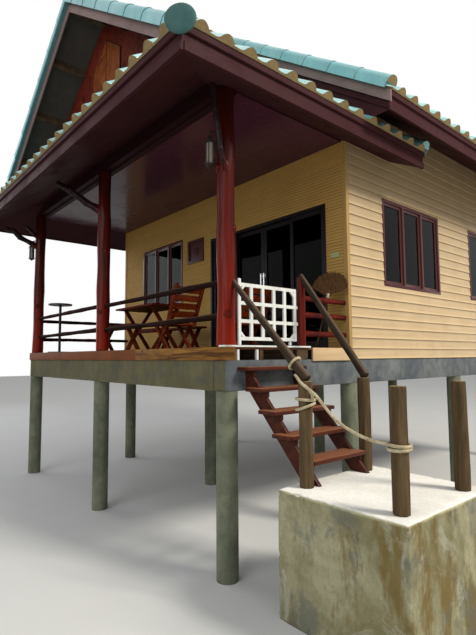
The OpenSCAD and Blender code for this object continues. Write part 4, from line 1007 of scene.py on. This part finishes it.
parts.prism([(PANEL_X + a, b) for a, b in panel], GABLE_FACE, GABLE_FACE - PANEL_T, upright, kind=1)
gable_looks = [bare_wood("gable_red", (108, 42, 28), (76, 28, 20), GABLE_GRAIN, 0.5, gloss=0.05),
               bare_wood("gable_joint", (48, 16, 12), (30, 12, 10), ALONG_Z), looks["gable_timber"]]
parts.piece("gable_boards", "gable_timber", "gable_wall", materials=gable_looks)

# Knots left on the posts
POST_R = 0.092
KNOT = [([(-0.02, 0.052), (0.004, 0.048), (0.012, 0.04), (0.014, 0.033), (0.01, 0.03)], 0),
        ([(-0.01, 0.0302), (0.0085, 0.0302), (0.0075, 0.021), (-0.01, 0.0205)], 1),
        ([(-0.01, 0.021), (0.012, 0.0205), (0.014, 0.012), (0.013, 0.002)], 0)]
parts = Parts()
for x, z, angle in ((0.0, 2.7, -26), (0.0, 3.62, 40), (RIDGE_X, 2.95, -60), (RIDGE_X, 3.9, 10),
                    (LEFT_POST_X, 3.3, -40), (0.0, 4.3, -120), (LEFT_POST_X, 2.8, 150)):
    out = Vector((math.cos(math.radians(angle)), math.sin(math.radians(angle)), 0))
    for profile, kind in KNOT:
        parts.lathe(Vector((x, 0, z)) + out * POST_R, out, profile, 20, kind)
knot_dark = bare_wood("knot_dark", (40, 14, 10), (24, 10, 8), ALONG_Z)
parts.piece("post_knots", "red_log", edges=60, materials=[looks["red_log"], knot_dark])


# Logs and the landing block with their uneven surfaces
def uneven(name, source, cell, move):
    """A fine mesh of one of the model's pieces, each point of it moved a little."""
    draft = placed(name + "_draft", nodes[source].data.copy())
    cells = draft.modifiers.new("cells", "REMESH")
    cells.mode = "VOXEL"
    cells.voxel_size = cell
    mesh = bpy.data.meshes.new_from_object(draft.evaluated_get(bpy.context.evaluated_depsgraph_get()))
    bpy.data.objects.remove(draft)
    mesh.materials.clear()
    mesh.materials.append(nodes[source].data.materials[0])
    places = [v.co + move(v.co, v.normal) for v in mesh.vertices]
    mesh.vertices.foreach_set("co", [c for place in places for c in place])
    mesh.polygons.foreach_set("use_smooth", [True] * len(mesh.polygons))
    mesh.update()
    settle(name, mesh, slot_of[source], replaced=source)


def log_swell(stretch, swell, ridge):
    """Slow swellings and fine ridges that run along a log."""
    slow = Vector(tuple(2.4 if s < 1 else 8.0 for s in stretch))
    fast = Vector(tuple(3.0 if s < 1 else 36.0 for s in stretch))

    def move(place, normal):
        wide = noise.noise(Vector(place[i] * slow[i] for i in range(3)))
        fine = noise.noise(Vector(place[i] * fast[i] for i in range(3)))
        return normal * (swell * wide + ridge * fine)
    return move


BLOCK_LOW, BLOCK_HIGH = (Vector(corner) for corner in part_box("landing_block"))


def chipped(place, normal):
    """Cast faces that aren't quite flat, with small bites out of their edges."""
    if place.z < 0.01:
        return Vector((0, 0, 0))
    gaps = sorted(min(place[i] - BLOCK_LOW[i], BLOCK_HIGH[i] - place[i]) for i in range(3))
    bite = max(0.0, noise.noise(place * 8.0) + 0.5 * noise.noise(place * 27.0) - 0.02)
    worn = max(0.0, 1 - gaps[1] / 0.04)
    flat = 0.003 * noise.noise(place * 4.0) + 0.0012 * noise.noise(place * 24.0)
    return normal * (flat - 0.002 - 0.026 * bite * worn)


uneven("logs_veranda", "veranda_posts", 0.011, log_swell(ALONG_Z, 0.009, 0.003))
uneven("logs_landing", "landing_posts", 0.01, log_swell(ALONG_Z, 0.005, 0.0022))
uneven("logs_handrails", "handrails", 0.01, log_swell((0.5, 1, 0.5), 0.004, 0.0015))
uneven("logs_rails", "log_rails", 0.011, log_swell((0.5, 1, 1), 0.005, 0.002))
uneven("block_concrete", "landing_block", 0.016, chipped)


# Sawn pieces with their edges eased
def eased(source, width):
    """The model's own piece with each sharp edge rounded off."""
    work = bmesh.new()
    work.from_mesh(nodes[source].data)
    bmesh.ops.remove_doubles(work, verts=work.verts[:], dist=0.00002)
    bmesh.ops.dissolve_limit(work, angle_limit=math.radians(1), verts=work.verts[:], edges=work.edges[:])
    sharp = [e for e in work.edges if len(e.link_faces) == 2 and e.calc_face_angle(0) > math.radians(40)]
    bmesh.ops.bevel(work, geom=sharp, offset=width, segments=2, profile=0.5, affect="EDGES",
                    clamp_overlap=True)
    mesh = bpy.data.meshes.new(source + "_eased")
    work.to_mesh(mesh)
    work.free()
    mesh.materials.clear()
    mesh.materials.append(nodes[source].data.materials[0])
    soften(mesh, 35)
    settle(source + "_eased", mesh, slot_of[source], replaced=source)


for source, width in (("stair_treads", 0.006), ("stair_stringers", 0.004), ("long_beams", 0.012),
                      ("front_edge_board", 0.004), ("side_edge_boards", 0.004),
                      ("window_frames", 0.003), ("picnic_set", 0.003), ("barge_boards", 0.003)):
    eased(source, width)


# Lanterns: a hexagonal frame with scrolls at its corners, frosted panes, a roof and a bracket
LANTERN_LOW = 4.297
LANTERN_TOP = 4.547
BRACKET_Z = 4.667
LANTERNS = ((-0.03, -0.19, 0.0), (-6.235, -0.115, LEFT_POST_X))
FOOT_RIM = [(0.026, -0.02), (0.05, -0.004), (0.056, 0), (0.056, 0.01), (0.046, 0.013)]
HEAD_RIM = [(0.045, -0.013), (0.05, -0.01), (0.05, -0.001)]
HOOD = [(0.058, -0.001), (0.0625, 0.003), (0.05, 0.02), (0.034, 0.04), (0.017, 0.056), (0.014, 0.064)]
KNOB = [(0, 0.008), (0.004, 0.012), (0.01, 0.012), (0.015, 0.006)]
DROP = [(0, 0.012), (0.006, 0.006), (0.01, 0.009), (0.016, 0.009), (0.022, 0.003)]
ROSE = [(0, 0.03), (0.01, 0.03), (0.014, 0.024), (0.017, 0.014)]
BRACE = [(0.1, 0.028), (0.104, 0.05), (0.117, 0.058), (0.126, 0.046), (0.122, 0.026), (0.138, 0.012),
         (0.165, 0.008), (0.19, 0.006)]
SCROLL = [(0.058, 0.03), (0.066, 0.026), (0.07, 0.016), (0.064, 0.006), (0.055, 0.008), (0.05, 0.03),
          (0.0485, 0.06), (0.0485, 0.19), (0.05, 0.218), (0.058, 0.236), (0.07, 0.24), (0.075, 0.23),
          (0.07, 0.222), (0.064, 0.226)]


def lantern(parts, x, y, post_x):
    """One lantern at a place, hung from a bracket on the post at another X."""
    centre = Vector((x, y, 0))
    low, top = LANTERN_LOW, LANTERN_TOP

    def levels(height, rows):
        return [ring(centre + UP * (height + z), EAST, NORTH, circle(radius, 6)) for radius, z in rows]

    parts.rings(levels(low, FOOT_RIM))
    parts.rings(levels(top, HEAD_RIM))
    parts.rings(levels(top, HOOD))
    parts.lathe(centre + UP * (top + 0.062), UP, KNOB, 16)
    parts.lathe(centre + UP * (low - 0.018), -UP, DROP, 16)
    parts.rings(levels(low, [(0.0405, 0.01)]) + levels(top, [(0.0405, -0.011)]), kind=1, ends=False)
    for a, b in circle(1.0, 6):
        bar = centre + Vector((a, b, 0)) * 0.0425
        parts.tube([bar + UP * (low + 0.008), bar + UP * (top - 0.01)], [0.0036] * 2, 8)
        scroll = smooth_path([centre + Vector((a, b, 0)) * r + UP * (low + z) for r, z in SCROLL], 3)
        parts.tube(scroll, [0.0026] * len(scroll), 6)
    out = Vector((x - post_x, y, 0))
    away = out.normalized()
    foot = Vector((post_x, 0, BRACKET_Z))
    parts.tube([foot + away * 0.08, foot + away * (out.length + 0.01)], [0.0085] * 2, 12)
    parts.tube([centre + UP * (top + 0.06), centre + UP * BRACKET_Z], [0.005] * 2, 10)
    parts.lathe(foot + away * 0.084, away, ROSE, 20)
    brace = smooth_path([foot + away * a + UP * b for a, b in BRACE], 4)
    parts.tube(brace, [0.004] * len(brace), 8)


parts = Parts()
for place in LANTERNS:
    lantern(parts, *place)
frosted_glass = two_tones("frosted_glass", tone(128, 120, 106), tone(96, 88, 78), 0.35, (30,), coat=0.1)
parts.piece("lanterns", "dark_metal", "wall_lantern", 35, [looks["dark_metal"], frosted_glass])

# Trim between the veranda ceiling and its front beam, and a blank plate on the front wall
CEILING_TRIM = [(0.04, 5.1815), (0.04, 5.163), (0.05, 5.156), (0.122, 5.156), (0.134, 5.1695),
                (0.1135, 5.1695), (0.1135, 5.1815)]
parts = Parts()
parts.prism(CEILING_TRIM, LEFT_POST_X - 0.04, 0.04, lambda a, b, d: (d, a, b))
parts.piece("ceiling_trim", "dark_beam")
PLATE_FACE = WALL_FRONT - 0.009
PLATE_X = -0.085
PLATE_Z = 3.626
PLATE_HALF = (0.067, 0.036)
parts = Parts()
for inset, low, high in ((0, 0, 0.004), (0.004, 0.004, 0.0055)):
    a, b = PLATE_HALF[0] - inset, PLATE_HALF[1] - inset
    outline = [(PLATE_X - a, PLATE_Z - b), (PLATE_X + a, PLATE_Z - b), (PLATE_X + a, PLATE_Z + b),
               (PLATE_X - a, PLATE_Z + b)]
    parts.prism(outline, PLATE_FACE - low, PLATE_FACE - high, upright)
for a in (-0.055, 0.055):
    parts.lathe((PLATE_X + a, PLATE_FACE - 0.005, PLATE_Z), -NORTH,
                [(0, 0.0045), (0.0015, 0.004), (0.002, 0.001)], 14)
plate_look = painted_wood("plate_paint", (158, 160, 112), (140, 138, 96), 0.5, ALONG_X, 0.4)
parts.piece("wall_plate", "trim_paint", edges=30, materials=[plate_look])

# Corner mouldings in place of the model's wide trims
TRIM_T = 0.017
TRIM_W = 0.046
TRIM_EDGE = 0.004
TRIM_TOP_FRONT = 5.55
TRIM_TOP_BACK = 5.779
MOULDING = [(-TRIM_W, 0), (-TRIM_W, TRIM_T - TRIM_EDGE), (-TRIM_W + TRIM_EDGE, TRIM_T),
            (TRIM_T - TRIM_EDGE, TRIM_T), (TRIM_T, TRIM_T - TRIM_EDGE), (TRIM_T, -TRIM_W + TRIM_EDGE),
            (TRIM_T - TRIM_EDGE, -TRIM_W), (0, -TRIM_W), (0, 0)]
parts = Parts()
for sign in (1, -1):
    for wall, away, top in ((WALL_FRONT, -1, TRIM_TOP_FRONT), (WALL_BACK, 1, TRIM_TOP_BACK)):
        parts.prism(MOULDING, BEAM_TOP, top,
                    lambda a, b, d: (on_side(WALL_RIGHT, sign) + sign * a, wall + away * b, d))
parts.piece("corner_mouldings", "trim_paint", "corner_trims", 30)

# Eave strips between the fascias and the tiles, and the boards that close the main roof's front verge
PORCH_STRIP = [(0, 0), (0.017, 0.006), (0.017, 0.06), (0.013, 0.066), (0, 0.066)]
MAIN_STRIP = [(0, 0), (0.027, 0.006), (0.027, 0.066), (0.023, 0.072), (0, 0.072)]
PORCH_STRIP_Z = PORCH_EAVE - 0.066
MAIN_STRIP_Z = MAIN_EAVE - 0.072
SOFFIT_X = MAIN_SIDE - 0.04
SOFFIT_LOW = 0.128
SOFFIT_TOP = 0.116
CLOSING_TOP = 0.12
CLOSING_LOW = 0.09
outer_z = main_z(SOFFIT_X)
inner_z = main_z(RIDGE_X)
soffit = [(SOFFIT_X, outer_z - SOFFIT_LOW), (RIDGE_X, inner_z - SOFFIT_LOW), (RIDGE_X, inner_z - SOFFIT_TOP),
          (SOFFIT_X, outer_z - SOFFIT_TOP)]
closing = [(SOFFIT_X, outer_z - CLOSING_TOP), (RIDGE_X, inner_z - CLOSING_TOP),
           (RIDGE_X, PORCH_TOP + CLOSING_LOW), (PORCH_SIDE, PORCH_EAVE + CLOSING_LOW),
           (SOFFIT_X, PORCH_EAVE + CLOSING_LOW)]
parts = Parts()
parts.prism(PORCH_STRIP, eave_left + 0.002, PORCH_SIDE - 0.002,
            lambda a, b, d: (d, -PORCH_FRONT + 0.018 - a, PORCH_STRIP_Z + b))
for sign in (1, -1):
    parts.prism(PORCH_STRIP, -PORCH_FRONT + 0.002, RETURN_Y,
                lambda a, b, d: (on_side(PORCH_SIDE, sign) - sign * (0.018 - a), d, PORCH_STRIP_Z + b))
    parts.prism(MAIN_STRIP, VERGE_FRONT + 0.002, VERGE_BACK,
                lambda a, b, d: (on_side(MAIN_SIDE, sign) - sign * (0.03 - a), d, MAIN_STRIP_Z + b))
    for outline, low, high in ((soffit, VERGE_FRONT + 0.03, WALL_FRONT - 0.001),
                               (closing, VERGE_FRONT + 0.032, VERGE_FRONT + 0.044)):
        parts.prism([(on_side(x, sign), z) for x, z in outline], low, high, upright)
parts.piece("eave_strips", "eave_brown", edges=25)

# Straw broom, leaning on the side rails with its fan up
BROOM_FOOT = Vector((-0.13, 1.6, FLOOR + 0.002))
BROOM_NECK = Vector((0.024, 1.665, 3.03))
parts = Parts()
lean = (BROOM_NECK - BROOM_FOOT).normalized()
middle = BROOM_FOOT.lerp(BROOM_NECK, 0.5) + Vector((0.002, 0.003, 0))
parts.tube([BROOM_FOOT, middle, BROOM_NECK + lean * 0.08], [0.0105, 0.0115, 0.01], 12, kind=1)
spread = Vector((0.55, 0.83, 0)).normalized()
away = lean.cross(spread).normalized()
STRAWS = 75
for k in range(2 * STRAWS):
    share = (k % STRAWS) / (STRAWS - 1) * 2 - 1
    angle = math.radians(62 * share + 2.5 * noise.noise(Vector((k * 0.7, 1.3, 2.1))))
    reach = 0.31 + 0.03 * noise.noise(Vector((k * 1.3, 0.2, 0.9))) - 0.07 * share * share
    layer = (1 if k < STRAWS else -1) * (0.004 + 0.003 * noise.noise(Vector((k * 0.9, 4.1, 0.4))))
    toward = lean * math.cos(angle) + spread * math.sin(angle)
    width = toward.cross(away).normalized()
    foot = BROOM_NECK + spread * 0.016 * share + away * layer * 0.8
    mid = foot + toward * reach * 0.55 + away * layer
    tip = foot + toward * reach + away * layer * 2.2
    parts.add([foot - width * 0.002, foot + width * 0.002, mid - width * 0.008, mid + width * 0.008,
               tip - width * 0.005, tip + width * 0.005], [(0, 1, 3, 2), (2, 3, 5, 4)], 0)
binding = [(0, 0.013), (0.008, 0.018), (0.05, 0.022), (0.06, 0.018)]
parts.lathe(BROOM_NECK - lean * 0.03, lean, binding, 16, kind=2)
straw = two_tones("straw", tone(78, 50, 26), tone(42, 27, 14), 0.9, (90, (1, 1, 0.1), 3), (0.35, 0.65),
                  (0.002, 0.5))
broom_looks = [straw, bare_wood("broom_stick", (92, 66, 42), (54, 36, 24), ALONG_Z, 0.6), looks["rope"]]
parts.piece("straw_broom", "furniture_timber", materials=broom_looks)

# Door pulls of bright metal over the model's own
DOOR_MID = (DOOR_LEFT + DOOR_RIGHT) / 2
PULL_LOW = FLOOR + 0.9
PULL_Y = 2.021
PULL_FOOT_Y = 2.0605
steel = two_tones("bright_metal", (0.62,) * 3, (0.5,) * 3, 0.25, (60, ALONG_Z, 3), bump=(0.0005, 0.3),
                  metal=1.0)
for side, sign in (("left", -1), ("right", 1)):
    parts = Parts()
    x = DOOR_MID + sign * 0.034
    parts.tube([(x, PULL_Y, PULL_LOW - 0.002), (x, PULL_Y, PULL_LOW + 0.322)], [0.0118] * 2, 16)
    for z in (PULL_LOW + 0.03, PULL_LOW + 0.29):
        parts.tube([(x, PULL_Y + 0.004, z), (x, PULL_FOOT_Y, z)], [0.008] * 2, 12)
        parts.tube([(x, PULL_FOOT_Y - 0.0045, z), (x, PULL_FOOT_Y + 0.0003, z)], [0.016] * 2, 16)
    parts.piece("door_pull_" + side, "dark_metal", None, 40, [steel], body="door_" + side)

# Studio
floor_mesh = bpy.data.meshes.new("floor")
floor_mesh.from_pydata([(-60, -60, 0), (60, -60, 0), (60, 60, 0), (-60, 60, 0)], [], [(0, 1, 2, 3)])
placed("floor", floor_mesh)
floor_look = two_tones("floor", (0.6, 0.59, 0.56), (0.64, 0.63, 0.6), 0.9, (0.8, (1, 1, 1), 3))
floor_mesh.materials.append(floor_look)

# World: white where it is seen, soft where it only lights
world = bpy.data.worlds.new("studio")
scene.world = world
world.use_nodes = True
tree = world.node_tree
tree.nodes.clear()
out = tree.nodes.new("ShaderNodeOutputWorld")
ray = tree.nodes.new("ShaderNodeLightPath")
blend = tree.nodes.new("ShaderNodeMixShader")
seen = ray.outputs["Is Camera Ray"]
for name in ("Is Glossy Ray", "Is Transmission Ray"):
    either = tree.nodes.new("ShaderNodeMath")
    either.operation = "MAXIMUM"
    tree.links.new(seen, either.inputs[0])
    tree.links.new(ray.outputs[name], either.inputs[1])
    seen = either.outputs[0]
tree.links.new(seen, blend.inputs[0])
for place, colour, strength in ((1, (0.93, 0.96, 1.0, 1), 0.55), (2, (1, 1, 1, 1), 1.0)):
    light = tree.nodes.new("ShaderNodeBackground")
    light.inputs["Color"].default_value = colour
    light.inputs["Strength"].default_value = strength
    tree.links.new(light.outputs[0], blend.inputs[place])
tree.links.new(blend.outputs[0], out.inputs["Surface"])


def lamp(name, place, target, size, power, colour):
    data = bpy.data.lights.new(name, "AREA")
    data.shape = "SQUARE"
    data.size = size
    data.energy = power
    data.color = colour
    made = placed(name, data)
    made.location = place
    made.rotation_euler = (Vector(target) - Vector(place)).to_track_quat("-Z", "Y").to_euler()


lamp("key", (16, 7, 17), (0, 2, 3), 5, 5200, (1.0, 0.96, 0.88))
lamp("fill", (4, -16, 8), (-2, 0, 3), 12, 1300, (0.9, 0.95, 1.0))
lamp("left", (-18, -4, 8), (-3, 2, 3), 10, 500, (0.92, 0.96, 1.0))

scene.view_settings.view_transform = "Standard"
